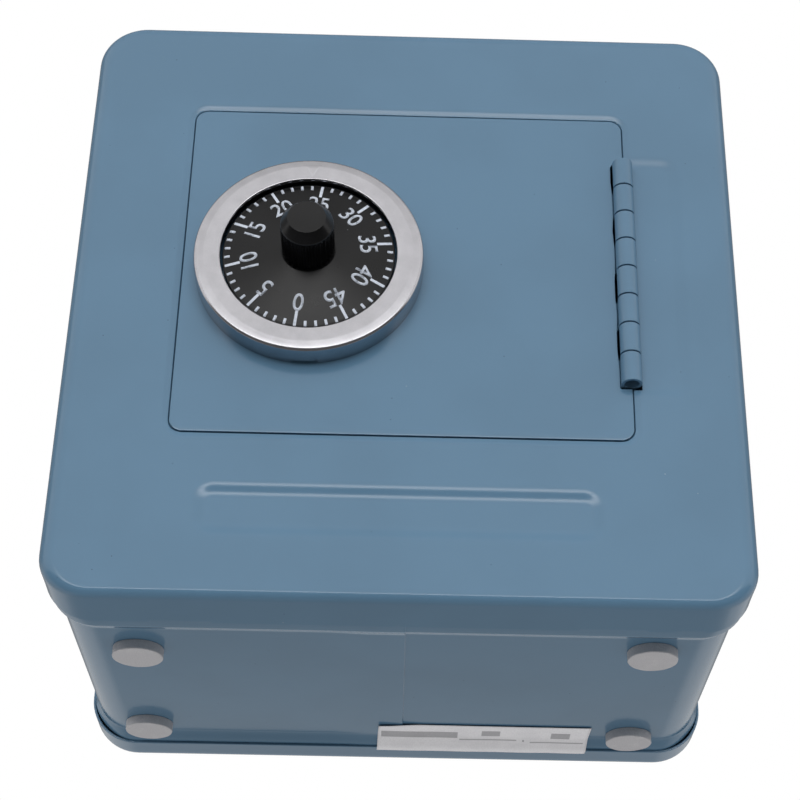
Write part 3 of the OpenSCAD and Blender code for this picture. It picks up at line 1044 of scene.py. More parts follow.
@dataclass
class Tray:
    """A slip-on cover: a flat face with pressed hollows, a bend all round and a skirt."""

    layout: Layout
    depth: float
    dishes: Sequence[Dish]
    taper: float = 0.12

    def profile(self, bend_r: float, lean: float = 0.0) -> np.ndarray:
        """The bend and the skirt, measured out from the corners' centres.

        Args:
            bend_r: The bend's radius.
            lean: How far the bend lies in from the skirt's raw edge.

        Returns:
            The profile's points.
        """
        lay = self.layout
        flat_r = lay.corner_r - bend_r
        turn = np.linspace(0, math.pi / 2, 15)
        arc = np.stack([flat_r + bend_r * np.sin(turn), bend_r * (1 - np.cos(turn))], 1)
        skirt = np.linspace((lay.corner_r, bend_r), (lay.corner_r, self.depth), 11)[1:]
        rise = np.array([(flat_r * share, 0.0) for share in (0.0, 0.4, 0.8)])
        points = np.concatenate([rise, arc, skirt])
        deep = points[:, 1] / self.depth
        points[3:, 0] -= self.taper * smooth(deep[3:])
        points[:, 0] *= 1 - lean / lay.corner_r * (1 - deep)
        return points

    def draft(self, opening: Distance | None, pitch: float = 0.2, mirror_at: float | None = None) -> Draft:
        """Draws the tray.

        Args:
            opening: How far points lie inside the opening's outline, if it has one.
            pitch: The grid's spacing where it is bent.
            mirror_at: The depth at which it faces backwards instead, if it does.

        Returns:
            The tray's outer surface.
        """
        lay = self.layout
        dense_x, dense_z = [], []
        for dish in self.dishes:
            reach = dish.floor.radius + 0.5
            ranges = [dish.floor.bands(reach, dish.reach, pitch)]
            if dish.shoulder_w:
                ranges.append(dish.floor.bands(dish.slope * 0.2, dish.slope * 1.2, pitch * 0.3))
            for in_x, in_z in ranges:
                dense_x += in_x
                dense_z += in_z
        xs = lines(-lay.centre_x, lay.centre_x, 3.5, dense_x)
        zs = lines(-lay.centre_z, lay.centre_z, 3.5, dense_z)
        if opening is None:
            x, z = np.meshgrid(xs, zs, indexing="ij")
            keep = None
        else:
            x, z, keep = cut_grid(xs, zs, opening)
        depth = np.zeros_like(x)
        for dish in self.dishes:
            depth = np.maximum(depth, dish.depth_at(x, z))
        face = np.stack([x, depth, z], 2)
        sides = self.profile(lay.bend_r)
        foot = sides if mirror_at is not None else self.profile(lay.foot_bend_r, lay.foot_lean)
        rim = Loop.around(xs, zs).sweep(sides, foot)
        if mirror_at is not None:
            face[..., 1] = mirror_at - face[..., 1]
            rim[..., 1] = mirror_at - rim[..., 1]
        draft = Draft()
        draft.add_grid(face, keep=keep)
        draft.add_grid(rim, around=True)
        return draft


@dataclass
class Case:
    """The body, its two covers, the pads and the label."""

    shop: Workshop
    paint: Finish
    foam: Finish
    seam_x: float = 1.15
    seam_t: float = 0.25
    slot_l: float = 40.0
    slot_w: float = 5.0
    slot_y: float = 42.0
    slot_bend: float = 0.9
    slot_lip: float = 2.6
    recess_gap: float = 0.13
    recess_drop: float = 0.1
    recess_depth: float = 1.2
    recess_slope: float = 0.2
    shoulder_w: float = 1.15
    shoulder_d: float = 0.33
    pocket_depth: float = 0.45
    pocket_slope: float = 2.4
    pocket_w: float = 9.2
    pocket_lap: float = 3.0
    pocket_corner_r: float = 1.5
    panel: RoundRect = RoundRect(-0.5, -46.3, 69.0, 5.9, 1.5)
    panel_depth: float = 0.58
    panel_slope: float = 2.3
    lap: float = 4.0
    door_way_r: float = 3.0
    raw_edge: float = 0.13
    slot_reach: float = 2.05
    hinge_slot_gap: float = 0.5
    back_panel_inset: float = 16.0
    back_panel_depth: float = 0.8
    back_panel_r: float = 4.0
    skirt_gap: float = 0.1
    bell_gap: float = 0.05
    corner_inset: float = 0.4
    label_fore: float = 1.2

    def front_cover(self) -> bpy.types.Object:
        """Builds the front cover with the door's recess, the hinge pocket and the pressed panel.

        Returns:
            The cover.
        """
        lay = self.shop.layout
        low, high = lay.box("door_panel")
        barrel_x, barrel_h = lay.barrel("hinge_frame_leaf")
        middle = ((low + high) / 2)[[0, 2]]
        size = (high - low)[[0, 2]]
        wide, tall = size + 2 * self.recess_gap
        corner_r = lay.door_corner_r + self.recess_gap
        recess = RoundRect(middle[0], middle[1] - self.recess_drop, wide, tall, corner_r)
        left, right = high[0] - self.pocket_lap, barrel_x + self.pocket_w
        pocket_h = barrel_h - 2 * lay.knuckle_gap
        pocket = RoundRect((left + right) / 2, middle[1], right - left, pocket_h, self.pocket_corner_r)
        door_way = RoundRect(*middle, *(size - 2 * self.lap), self.door_way_r)
        slot_right = barrel_x + self.slot_reach
        slot_h = barrel_h + 2 * self.hinge_slot_gap
        slot_x = (middle[0] + slot_right) / 2
        slot = RoundRect(slot_x, middle[1], slot_right - middle[0], slot_h, SHARP_R)

        def opening(x: np.ndarray, z: np.ndarray) -> np.ndarray:
            """How far points lie inside the door way or the hinge slot."""
            return -np.minimum(door_way.distance(x, z), slot.distance(x, z))

        dishes = [
            Dish(recess, self.recess_depth, self.recess_slope, self.shoulder_w, self.shoulder_d),
            Dish(pocket, self.pocket_depth, self.pocket_slope),
            Dish(self.panel, self.panel_depth, self.panel_slope),
            Dish(door_way, 0.0, FLAT_SLOPE),
            Dish(slot, 0.0, FLAT_SLOPE),
        ]
        draft = Tray(lay, lay.front_d, dishes).draft(opening)
        return self.shop.piece(
            "front_cover_skin", draft, self.paint, Body.CASE, Slot.CASE, ["front_cover"],
            thickness=lay.cover_t, inside=(0, 30, 0), edge=self.raw_edge,
        )

    def back_cover(self) -> bpy.types.Object:
        """Builds the back cover with its stiffening panel.

        Returns:
            The cover.
        """
        lay = self.shop.layout
        wide, tall = (2 * (half - self.back_panel_inset) for half in (lay.half_w, lay.half_h))
        panel = RoundRect(0, 0, wide, tall, self.back_panel_r)
        dish = Dish(panel, self.back_panel_depth, self.panel_slope)
        tray = Tray(lay, lay.back_d, [dish], taper=0.04)
        draft = tray.draft(None, pitch=0.3, mirror_at=lay.case_d)
        return self.shop.piece(
            "back_cover_skin", draft, self.paint, Body.CASE, Slot.CASE, ["back_cover"],
            thickness=lay.cover_t, inside=(0, 40, 0), edge=self.raw_edge,
        )

    def body_rows(self) -> np.ndarray:
        """The wrapped body's profile: two belled ends and a wall between smooth flares."""
        lay = self.shop.layout
        bell = lay.corner_r - lay.cover_t - self.bell_gap
        wall = lay.corner_r - lay.body_inset
        front_bell = lay.front_d + lay.bell_show
        back_bell = lay.case_d - lay.back_d - self.skirt_gap
        bell_end = lay.bend_r + 0.2
        slot = RoundRect(0, self.slot_y, self.slot_l, self.slot_w + 2 * self.slot_bend, 0.8)
        dense = [
            (front_bell - 0.3, front_bell + lay.flare_l + 0.3, 0.25),
            (back_bell - lay.flare_l - 0.3, back_bell + 0.3, 0.25),
            *slot.bands(1.6, 0.2, 0.3)[1],
        ]
        ys = lines(bell_end, lay.case_d - bell_end, 4.0, dense)
        front = smooth((ys - front_bell) / lay.flare_l)
        back = smooth((back_bell - ys) / lay.flare_l)
        out = bell - (bell - wall) * np.minimum(front, back)
        bead = 0.07 * np.exp(-(((ys - front_bell) / 0.35) ** 2))
        return np.stack([out + bead, ys], 1)

    def body_shell(self) -> bpy.types.Object:
        """Builds the wrapped body with its lapped seam and the coin slot's turned-in edges.

        Returns:
            The body.
        """
        lay = self.shop.layout
        slot = RoundRect(
            0, self.slot_y, self.slot_l + 2 * self.slot_bend, self.slot_w + 2 * self.slot_bend, 1.2
        )
        seam = (self.seam_x - 0.4, self.seam_x + 0.5, 0.08)
        xs = lines(-lay.centre_x, lay.centre_x, 3.5, [seam, *slot.bands(1.8, 0.3, 0.3)[0]])
        zs = lines(-lay.centre_z, lay.centre_z, 6.0, [])
        rows = self.body_rows()
        loop = Loop.around(xs, zs)
        foot = rows.copy()
        foot[:, 0] -= lay.foot_lean * np.clip(1 - rows[:, 1] / lay.front_d, 0, 1)
        grid = loop.sweep(rows, foot)
        corner = (2 * loop.outs[:, 0] * loop.outs[:, 1]) ** 2
        behind = smooth((rows[:, 1] - (lay.case_d - lay.back_d - 3.5)) / 3.0)
        inset = self.corner_inset * behind[:, None] * corner[None]
        grid[..., 0] -= inset * loop.outs[None, :, 0]
        grid[..., 2] -= inset * loop.outs[None, :, 1]
        on_wall = 1 - smooth((rows[:, 0] - rows[:, 0].min()) / np.ptp(rows[:, 0]) * 1.2)
        lifted = smooth((xs - self.seam_x + 14) / 8) * (1 - smooth((xs - self.seam_x) / 0.12))
        grid[:, : len(xs), 2] -= (0.35 + 0.65 * on_wall[:, None]) * self.seam_t * lifted[None]
        bottom, side = len(xs), len(zs)
        top = bottom + side + 26
        on_top = range(top, top + len(xs))
        u, v, keep_top = cut_grid(xs[::-1], rows[:, 1], lambda x, y: -slot.distance(x, y))
        keep = np.ones((len(rows) - 1, grid.shape[1]), bool)
        keep[:, top : top + len(xs) - 1] = keep_top.T
        inside = (np.abs(u) < self.slot_l / 2 + 2) & (np.abs(v - self.slot_y) < self.slot_w + 1)
        for k, column in enumerate(on_top):
            moved = inside[k]
            grid[moved, column, 0] = u[k, moved]
            grid[moved, column, 1] = v[k, moved]
        draft = Draft()
        draft.add_grid(grid, around=True, keep=keep)
        self.turn_in(draft, slot, xs[::-1], rows[:, 1])
        return self.shop.piece(
            "body_skin", draft, self.paint, Body.CASE, Slot.CASE, ["body_shell"],
            thickness=lay.shell_t, inside=(0, 40, 0), edge=0.1,
        )

    def turn_in(self, draft: Draft, slot: RoundRect, us: np.ndarray, vs: np.ndarray) -> None:
        """Adds the coin slot's turned-in edges.

        Args:
            draft: The body's draft.
            slot: The outline where the bend starts, in x and y.
            us: The body's grid lines across.
            vs: The body's grid lines in depth.
        """
        lay = self.shop.layout
        u, v, keep = cut_grid(us, vs, lambda x, y: -slot.distance(x, y))
        inner = ~keep
        rim: list[tuple[float, float]] = []
        for i in range(inner.shape[0]):
            for j in range(inner.shape[1]):
                if inner[i, j]:
                    rim += [(u[a, b], v[a, b]) for a in (i, i + 1) for b in (j, j + 1)]
        points = np.array(rim)
        on_rim = np.abs(slot.distance(points[:, 0], points[:, 1])) < 1e-3
        points = np.unique(np.round(points[on_rim], 5), axis=0)
        order = np.argsort(np.arctan2((points[:, 1] - slot.z) * slot.width / slot.height, points[:, 0]))
        points = points[order]
        bend = np.linspace(0, math.pi / 2, 6)
        moves = [(self.slot_bend * math.sin(a), self.slot_bend * (1 - math.cos(a))) for a in bend]
        moves += [(self.slot_bend, drop) for drop in spread(self.slot_bend, self.slot_lip, 0.9)[1:]]
        middle = np.array([slot.x, slot.z])
        half = np.array([slot.width / 2, slot.height / 2])
        grid = []
        for inward, drop in moves:
            share = (half - inward) / half
            flat = middle + (points - middle) * share
            grid.append(np.stack([flat[:, 0], flat[:, 1], np.full(len(flat), lay.wall_z - drop)], 1))
        draft.add_grid(np.array(grid), around=True)

    def pads(self) -> None:
        """Builds the four foam pads, each cut a little unevenly."""
        lay = self.shop.layout
        rng = np.random.default_rng(SEED)
        steps = 72
        for node in ("foot_front_left", "foot_front_right", "foot_back_left", "foot_back_right"):
            low, high = lay.box(node)
            middle = (low + high) / 2
            radius = (high[0] - low[0]) / 2
            rim = [(radius, low[2], 0.22), (radius - 0.05, high[2], 0.1)]
            profile = fillet([(0, low[2], 0), *rim, (0, high[2], 0)], 5)
            turn = np.linspace(0, math.tau, steps, endpoint=False)
            ripple = sum(
                rng.uniform(0.01, 0.035) * np.cos(k * turn + rng.uniform(0, math.tau))
                for k in (2, 3, 5, 9)
            )
            rows = []
            for r, z in profile:
                wide = max(0.0, r) * (1 - 0.02 / radius + (ripple - 0.05) / radius)
                x, y = middle[0] + wide * np.cos(turn), middle[1] + wide * np.sin(turn)
                rows.append(np.stack([x, y, np.full(steps, z)], 1))
            draft = Draft()
            draft.add_grid(np.array(rows), around=True)
            pad = self.shop.piece(node + "_pad", draft, self.foam, Body.CASE, Slot.FOAM, [node])

    def label(self) -> bpy.types.Object:
        """Builds the paper label that laps from the body over the flare onto the back cover.

        Returns:
            The label.
        """
        lay = self.shop.layout
        low, high = lay.box("label")
        lap_y = lay.case_d - lay.back_d
        flare_y = lap_y - self.skirt_gap - lay.flare_l
        wall, skirt = -lay.wall_z - self.seam_t - 0.06, -lay.half_h - 0.03
        front = low[1] - self.label_fore
        bends = [(flare_y, wall, 3.0), (lap_y - 0.4, skirt, 2.0)]
        path = fillet([(front, wall, 0), *bends, (high[1], skirt, 0)], 8)
        steps = np.concatenate([[0], np.cumsum(np.hypot(*np.diff(path, axis=0).T))])
        along = np.linspace(0, steps[-1], 22)
        ys, zs = np.interp(along, steps, path[:, 0]), np.interp(along, steps, path[:, 1])
        xs = np.linspace(low[0], high[0], 64)
        grid = np.zeros((len(along), len(xs), 3))
        grid[..., 0] = xs[None] - 0.035 * (along[:, None] - along.mean())
        skew = 0.25 * smooth((xs[None] - low[0]) / 40)
        grid[..., 1] = ys[:, None] + skew * (1 - along[:, None] / along[-1])
        lift = smooth((9 - (xs[None] - low[0])) / 9) * smooth((3.5 - along[:, None]) / 3.5)
        grid[..., 2] = zs[:, None] - 0.45 * lift
        grid[..., 2] -= 0.02 * np.sin(xs[None] * 0.55) * smooth(along[:, None] / 3)
        draft = Draft()
        draft.add_grid(grid)
        bars = (
            Bar(0.7, 16.4, 5.3, 2.9),
            Bar(16.8, 28.6, 7.15, 0.3),
            Bar(21.3, 25.1, 4.4, 2.9),
            Bar(29.8, 30.2, 7.3, 0.5),
            Bar(31.4, 42.4, 7.7, 0.3),
            Bar(35.6, 39.5, 5.1, 2.9),
        )
        paper = LabelPaper("printed_label_paper", low[0], front + lay.face_y / MM, bars)
        return self.shop.piece(
            "label_sheet", draft, paper, Body.CASE, Slot.PAPER, ["label"],
            thickness=0.09, inside=(17, 60, 0),
        )

    def build(self) -> None:
        """Builds every piece of the case."""
        self.front_cover()
        self.back_cover()
        self.body_shell()
        self.pads()
        self.label()


# ---------------------------------------------------------------- the door and its hinge


@dataclass
class Hinge:
    """Two rolled leaves whose knuckles turn on one pin."""

    shop: Workshop
    paint: Finish
    steel: Finish
    sheet: float = 0.6
    pitch: float = 6.35
    count: int = 8
    leaf_w: float = 12.0
    curl_degrees: float = 322.0

    def axis(self) -> tuple[float, float, float, float]:
        """The barrel's x and y, its top, and its outer radius."""
        high = self.shop.layout.box("hinge_frame_leaf")[1]
        pin_low, pin_high = self.shop.layout.box("hinge_pin")
        middle = (pin_low + pin_high) / 2
        radius = (pin_high[0] - pin_low[0]) / 2 + 0.05 + self.sheet
        return middle[0], middle[1], high[2] + self.shop.layout.knuckle_gap / 2, radius

    def strip(self, side: int, front: float) -> np.ndarray:
        """The outline of a knuckle rolled from sheet: the leaf, the web and the curl.

        Args:
            side: 1 for the frame's leaf and -1 for the door's.
            front: The leaf's front face.

        Returns:
            The closed outline, in x and y.
        """
        x, y, _, radius = self.axis()
        mid_r = radius - self.sheet / 2
        web_x = x + side * mid_r
        turn = np.radians(np.linspace(0, self.curl_degrees, 40))
        curl = [(x + side * mid_r * math.cos(a), y - mid_r * math.sin(a)) for a in turn]
        leaf_y = front + self.sheet / 2
        line = [(x + side * (mid_r + 1.2), leaf_y)]
        bend = 0.5
        for a in np.linspace(0, math.pi / 2, 6):
            line.append((web_x + side * bend * (1 - math.sin(a)), leaf_y - bend * (1 - math.cos(a))))
        path = np.array(line + curl)
        step = np.gradient(path, axis=0)
        step /= np.linalg.norm(step, axis=1, keepdims=True)
        normal = np.stack([-step[:, 1], step[:, 0]], 1) * self.sheet / 2
        return np.concatenate([path + normal, (path - normal)[::-1]])

    def half(self, name: str, first: int, side: int, front: float, body: Body) -> bpy.types.Object:
        """Builds one half of the hinge.

        Args:
            name: The CAD node that it stands for.
            first: The first knuckle it has, counted from the top.
            side: 1 for the frame's half and -1 for the door's.
            front: The leaf's front face.
            body: The body that it rides on.

        Returns:
            The half.
        """
        gap = self.shop.layout.knuckle_gap
        x, _, top, radius = self.axis()
        outline = self.strip(side, front)
        count = len(outline)
        draft = Draft()
        for i in range(first, self.count, 2):
            high = top - i * self.pitch - gap / 2
            low = high - self.pitch + gap
            levels = spread(low, high, 2.1)
            rows = [np.stack([outline[:, 0], outline[:, 1], np.full(count, z)], 1) for z in levels]
            draft.add_grid(np.array(rows), around=True)
            half = count // 2
            for row, level in ((rows[0], 0), (rows[-1], 1)):
                faces = [(k, k + 1, count - 2 - k, count - 1 - k) for k in range(half - 1)]
                draft.add(row, [face[::-1] if level else face for face in faces])
        near = x + side * (radius + 0.3)
        far = x + side * (radius - self.sheet + self.leaf_w)
        high = top - gap / 2
        low = top - self.count * self.pitch + gap / 2
        leaf = RoundRect((near + far) / 2, (low + high) / 2, abs(far - near), high - low, 0.8)
        draft.add_prism(self.rim_of(leaf), (0, 2, 1), front, front + self.sheet)
        return self.shop.piece(
            name + "_rolled", draft, self.paint, body, Slot.CASE, [name], edge=0.09
        )

    def rim_of(self, leaf: RoundRect) -> np.ndarray:
        """The leaf's outline as points."""
        half_w, half_h = leaf.width / 2, leaf.height / 2
        corners = [(-half_w, -half_h), (half_w, -half_h), (half_w, half_h), (-half_w, half_h)]
        return fillet([(leaf.x + a, leaf.z + b, leaf.radius) for a, b in corners], 4, closed=True)

    def build(self) -> None:
        """Builds both halves and dresses the pin."""
        frame_front = self.shop.layout.box("hinge_frame_leaf")[1][1] - self.sheet
        door_front = self.shop.layout.box("hinge_door_leaf")[1][1] - self.sheet
        self.half("hinge_frame_leaf", 0, 1, frame_front, Body.CASE)
        self.half("hinge_door_leaf", 1, -1, door_front, Body.DOOR)
        self.shop.node("hinge_pin", self.steel, edge=0.2)


@dataclass
class Door:
    """The door's panel, the dial's ring on it, and what is riveted behind it."""

    shop: Workshop
    paint: Finish
    steel: Finish
    zinc: Finish
    brass: Finish
    bore_r: float = 16.7
    ring_t: float = 0.5
    lip_d: float = 1.9
    drain_w: float = 4.8
    drain_h: float = 0.9
    tab_angles: tuple[float, ...] = (30.0, 150.0, 210.0, 330.0)
    tab_w: float = 4.0
    tab_fold: float = 2.95
    notch_gap: float = 0.3
    notch_reach: float = 2.05
    notch_past: float = 6.0
    notch_corner_r: float = 0.3
    slit_reach: float = 2.3
    slit_short: float = 0.5
    slit_corner_r: float = 0.1
    knuckles: int = 8
    roll_w: float = 0.75
    roll_d: float = 0.075

    def panel(self) -> bpy.types.Object:
        """Builds the door's panel, notched for the hinge's barrel.

        Returns:
            The panel.
        """
        lay = self.shop.layout
        low, high = lay.box("door_panel")
        barrel_x, barrel_h = lay.barrel("hinge_door_leaf")
        middle, size = (low + high) / 2, high - low
        plate = RoundRect(middle[0], middle[2], size[0], size[2], lay.door_corner_r)
        left, right = barrel_x - self.notch_reach, high[0] + self.notch_past
        notch_h = barrel_h + 2 * self.notch_gap
        notch = RoundRect((left + right) / 2, middle[2], right - left, notch_h, self.notch_corner_r)
        pitch = barrel_h / self.knuckles
        slit_h = pitch - self.slit_short
        slits = []
        for k in range(0, self.knuckles, 2):
            slit_z = middle[2] + barrel_h / 2 - (k + 0.5) * pitch
            slits.append(RoundRect(barrel_x, slit_z, 2 * self.slit_reach, slit_h, self.slit_corner_r))

        def outline(x: np.ndarray, z: np.ndarray) -> np.ndarray:
            """How far points lie outside the panel."""
            cuts = np.min([cut.distance(x, z) for cut in (notch, *slits)], axis=0)
            return np.maximum(plate.distance(x, z), -cuts)

        plate_x, plate_z = plate.bands(2.7, 0.0, 0.24)
        notch_x, notch_z = notch.bands(0.5, 0.1, 0.12)
        xs = lines(low[0], high[0], 4, plate_x + notch_x)
        zs = lines(low[2], high[2], 4, plate_z + notch_z)
        x, z, keep = cut_grid(xs, zs, outline)
        draft = Draft()
        rolled = np.clip(1 + plate.distance(x, z) / self.roll_w, 0, 1) ** 1.5
        draft.add_grid(np.stack([x, low[1] + self.roll_d * rolled, z], 2), keep=keep)
        return self.shop.piece(
            "door_skin", draft, self.paint, Body.DOOR, Slot.CASE, ["door_panel"],
            thickness=size[1] - self.roll_d, inside=(0, 30, 0), edge=0.15,
        )

    def ring(self) -> None:
        """Builds the dial's ring: satin face, rolled polished edge, inner lip, drain gap and tabs."""
        lay = self.shop.layout
        low, high = lay.box("dial_ring")
        dial_low, dial_high = lay.box("dial_disc")
        x, z = ((dial_low + dial_high) / 2)[[0, 2]]
        outer = (high[0] - low[0]) / 2
        face, seat = low[1], lay.box("door_panel")[0][1]
        inner, t = self.bore_r, self.ring_t
        lip = face + self.lip_d
        profile = fillet(
            [
                (inner, lip, 0.1), (inner, face, 0.32), (outer - 2.0, face, 2.0),
                (outer - 0.1, face + 0.3, 0.7), (outer, face + 2.4, 0.0),
                (outer, seat, 0.06), (outer - t, seat, 0.06), (outer - t, face + t + 0.05, 0.6),
                (inner + t, face + t, 0.1), (inner + t, lip, 0.1),
            ],
            7,
            closed=True,
        )
        half_gap = math.degrees(math.asin(self.drain_w / 2 / outer))
        turns = list(np.linspace(0, 360, 288, endpoint=False))
        turns += [270 + s * (half_gap + d) for s in (-1, 1) for d in (-0.12, 0.12)]
        turns = np.array(sorted(turns))
        gap = np.abs(turns - 270) < half_gap
        rows = []
        for r, y in profile:
            depth = np.full(len(turns), y)
            depth[gap] = np.minimum(depth[gap], seat - self.drain_h)
            angle = np.radians(turns)
            rows.append(np.stack([x + r * np.cos(angle), depth, z + r * np.sin(angle)], 1))
        rows.append(rows[0])
        draft = Draft()
        draft.add_grid(np.array(rows), around=True)
        back = lay.box("door_panel")[1][1]
        tab_end = outer - t - self.tab_fold
        fold = fillet(
            [
                (outer - t + 0.05, seat - 0.8, 0), (outer - 0.1, seat - 0.8, 0),
                (outer - 0.1, back + t, 0.45), (tab_end, back + t, 0.1),
                (tab_end, back, 0), (outer - t + 0.05, back, 0.06),
            ],
            4,
            closed=True,
        )
        for degrees in self.tab_angles:
            start = draft.count
            draft.add_prism(fold, (0, 1, 2), -self.tab_w / 2, self.tab_w / 2)
            turn = math.radians(degrees)
            new = [p for p, n in zip(draft.points, np.cumsum([len(p) for p in draft.points])) if n > start]
            for points in new:
                r, w = points[:, 0].copy(), points[:, 2].copy()
                points[:, 0] = x + r * math.cos(turn) - w * math.sin(turn)
                points[:, 2] = z + r * math.sin(turn) + w * math.cos(turn)
        centre = (x * MM, z * MM + lay.mid_z)
        satin = SatinSteel("ring_satin_steel", centre, outer - 0.9, inner + 0.3)
        self.shop.piece(
            "dial_ring_pressed", draft, satin, Body.DOOR, Slot.RING, ["dial_ring"], edge=0.04, crease=60
        )
        self.index_mark(x, z, (inner + outer - 1.55) / 2, face, satin)

    def index_mark(self, x: float, z: float, radius: float, face: float, finish: Finish) -> None:
        """Builds the embossed arrow at the top of the ring, which points at the dial.

        Args:
            x: The dial's axis, across.
            z: The dial's axis, upwards.
            radius: How far above the axis the arrow's middle lies.
            face: The ring's face.
            finish: The ring's finish.
        """
        half_w, half_h = 1.3, 1.3
        across = np.linspace(-half_w - 0.35, half_w + 0.35, 27)
        up = np.linspace(-half_h - 0.35, half_h + 0.35, 27)
        u, v = np.meshgrid(across, up, indexing="ij")
        slant = np.array([2 * half_h, half_w]) / math.hypot(2 * half_h, half_w)
        away = np.maximum(v - half_h, np.abs(u) * slant[0] - (v + half_h) * slant[1])
        rise = 0.08 * (1 - smooth((away + 0.3) / 0.45))
        draft = Draft()
        draft.add_grid(np.stack([x + u, face + 0.03 - rise, z + radius + v], 2))
        self.shop.piece(
            "ring_index_arrow", draft, finish, Body.DOOR, Slot.RING, thickness=0.15, inside=(x, 30, z)
        )

    def build(self) -> None:
        """Builds the door's pieces and dresses what is riveted to it."""
        self.panel()
        self.ring()
        self.shop.node("spindle_bush", self.brass, edge=0.12)
        self.shop.node("lock_bridge", self.zinc, edge=0.18)
        self.shop.node("bridge_rivets", self.steel, edge=0.3)


# ---------------------------------------------------------------- the dial and the lock


@dataclass
class Dial:
    """The numbered dial, its knob and the lock parts behind it."""

    shop: Workshop
    plastic: Finish
    knob_plastic: Finish
    ink: Finish
    steel: Finish
    zinc: Finish
    knob_r: float = 5.0
    knob_top_r: float = 3.5
    flutes: int = 28
    flute_start: float = 2.35
    flute_depth: float = 0.45
    land: float = 0.5
    rim_t: float = 1.4
    marks: int = 50
    shown_number: float = 24.0
    ink_rise: float = 0.03
    ink_sink: float = 0.04
    ink_spread: float = 0.035
    cap_share: float = 0.72
    numeral_narrow: float = 0.9
    numeral_h: float = 3.45
    numeral_r: float = 11.35

    def centre(self) -> tuple[float, float]:
        """The dial's axis, in x and z."""
        low, high = self.shop.layout.box("dial_disc")
        return tuple(((low + high) / 2)[[0, 2]])

    def revolved(self, profile: np.ndarray, steps: int, fluting: Callable | None = None) -> Draft:
        """Turns a closed profile about the dial's axis.

        Args:
            profile: Its points: the radius and the depth.
            steps: Segments round the axis.
            fluting: Gives how far the surface lies inwards, from the turn and the depth.

        Returns:
            The turned body.
        """
        x, z = self.centre()
        turn = np.linspace(0, math.tau, steps, endpoint=False)
        rows = []
        for r, y in profile:
            radius = np.full(steps, max(r, 0.0))
            if fluting is not None:
                radius = np.maximum(radius - fluting(turn, r, y), 0)
            ring = [x + radius * np.cos(turn), np.full(steps, y), z + radius * np.sin(turn)]
            rows.append(np.stack(ring, 1))
        draft = Draft()
        draft.add_grid(np.array(rows), around=True)
        return draft

    def disc(self) -> None:
        """Builds the dial: a shallow cone with a thin rim."""
        low, high = self.shop.layout.box("dial_disc")
        radius = (high[0] - low[0]) / 2
        hub, boss = low[1], high[1]
        face = self.face_at(radius)
        profile = fillet(
            [
                (2.0, hub, 0), (self.knob_r + 0.3, hub, 0.5), (radius - self.land, face, 0.6),
                (radius, face, 0.16), (radius, face + self.rim_t, 0.1), (4.0, face + self.rim_t, 0.2),
                (4.0, boss, 0.1), (2.0, boss, 0), (2.0, hub, 0),
            ],
            5,
        )
        turned = self.revolved(profile, 240)
        self.shop.piece("dial_face", turned, self.plastic, Body.DIAL, Slot.DIAL, ["dial_disc"])

    def face_at(self, radius: float | np.ndarray) -> np.ndarray:
        """The depth of the dial's face at a distance from the axis."""
        low, high = self.shop.layout.box("dial_disc")
        foot = (high[0] - low[0]) / 2 - self.land
        rise = high[1] - low[1] - self.rim_t - 1.1
        share = np.clip((np.asarray(radius) - self.knob_r - 0.3) / (foot - self.knob_r - 0.3), 0, 1)
        return low[1] + rise * share

    def knob(self) -> None:
        """Builds the fluted knob with its bevelled flat top."""
        low, high = self.shop.layout.box("knob")
        top, base = low[1], high[1]
        r = self.knob_r
        start = top + self.flute_start

        def fluting(turn: np.ndarray, radius: float, depth: float) -> np.ndarray:
            """How far the flutes lie inside the knob's side."""
            if radius < r - 0.4:
                return np.zeros_like(turn)
            wave = 0.5 + 0.5 * np.cos(self.flutes * turn)
            grown = float(smooth(np.array((depth - start + 0.25) / 0.6)))
            return self.flute_depth * wave**0.55 * grown

        depths = [*spread(start - 0.3, start + 0.8, 0.12), *spread(start + 1.2, base - 0.05, 1.2)]
        side = [(r, y) for y in depths]
        bevel = [(self.knob_top_r, top, 0.15), (r - 0.25, top + 1.75, 0.6)]
        crown = fillet([(0, top, 0), *bevel, (r, start - 0.3, 0)], 5)
        rows = np.array([*crown, *side, (r - 0.08, base), (0, base)])
        turned = self.revolved(rows, self.flutes * 14, fluting)
        self.shop.piece("knob_fluted", turned, self.knob_plastic, Body.DIAL, Slot.KNOB, ["knob"])

    def on_face(self, points: np.ndarray, turn: float) -> np.ndarray:
        """Lays flat points on the dial's face.

        Args:
            points: Across, outwards from the axis, and the height above the face.
            turn: The direction of outwards, in radians.

        Returns:
            The points in the case frame.
        """
        x, z = self.centre()
        across, out, rise = points.T
        px = x + out * math.cos(turn) + across * math.sin(turn)
        pz = z + out * math.sin(turn) - across * math.cos(turn)
        depth = self.face_at(np.hypot(across, out))
        return np.stack([px, depth - rise, pz], 1)

    def turn_of(self, number: float) -> float:
        """The direction of a number on the dial, in radians; the shown number is at the top."""
        return math.radians(90 - (number - self.shown_number) * 360 / self.marks)

    def graduations(self) -> None:
        """Builds the printed ticks and numerals."""
        radius = self.shop.layout.box("dial_disc")[1][0] - self.centre()[0]
        draft = Draft()
        outer = radius - 0.32
        for number in range(self.marks):
            length, half = (2.9, 0.27) if number % 5 == 0 else (1.1, 0.26)
            corners = [(-half, outer - length), (half, outer - length), (half, outer), (-half, outer)]
            outline = fillet([(*c, 0.06) for c in corners], 2, closed=True)
            heights = (-self.ink_sink, self.ink_rise)
            ends = [np.column_stack([outline, np.full(len(outline), h)]) for h in heights]
            placed = [self.on_face(end, self.turn_of(number)) for end in ends]
            draft.add_grid(np.array(placed), around=True)
            draft.add(placed[1], [tuple(range(len(outline)))])
            if number % 5 == 0:
                self.numeral(draft, number)
        self.shop.piece("dial_graduations", draft, self.ink, Body.DIAL, Slot.DIAL)

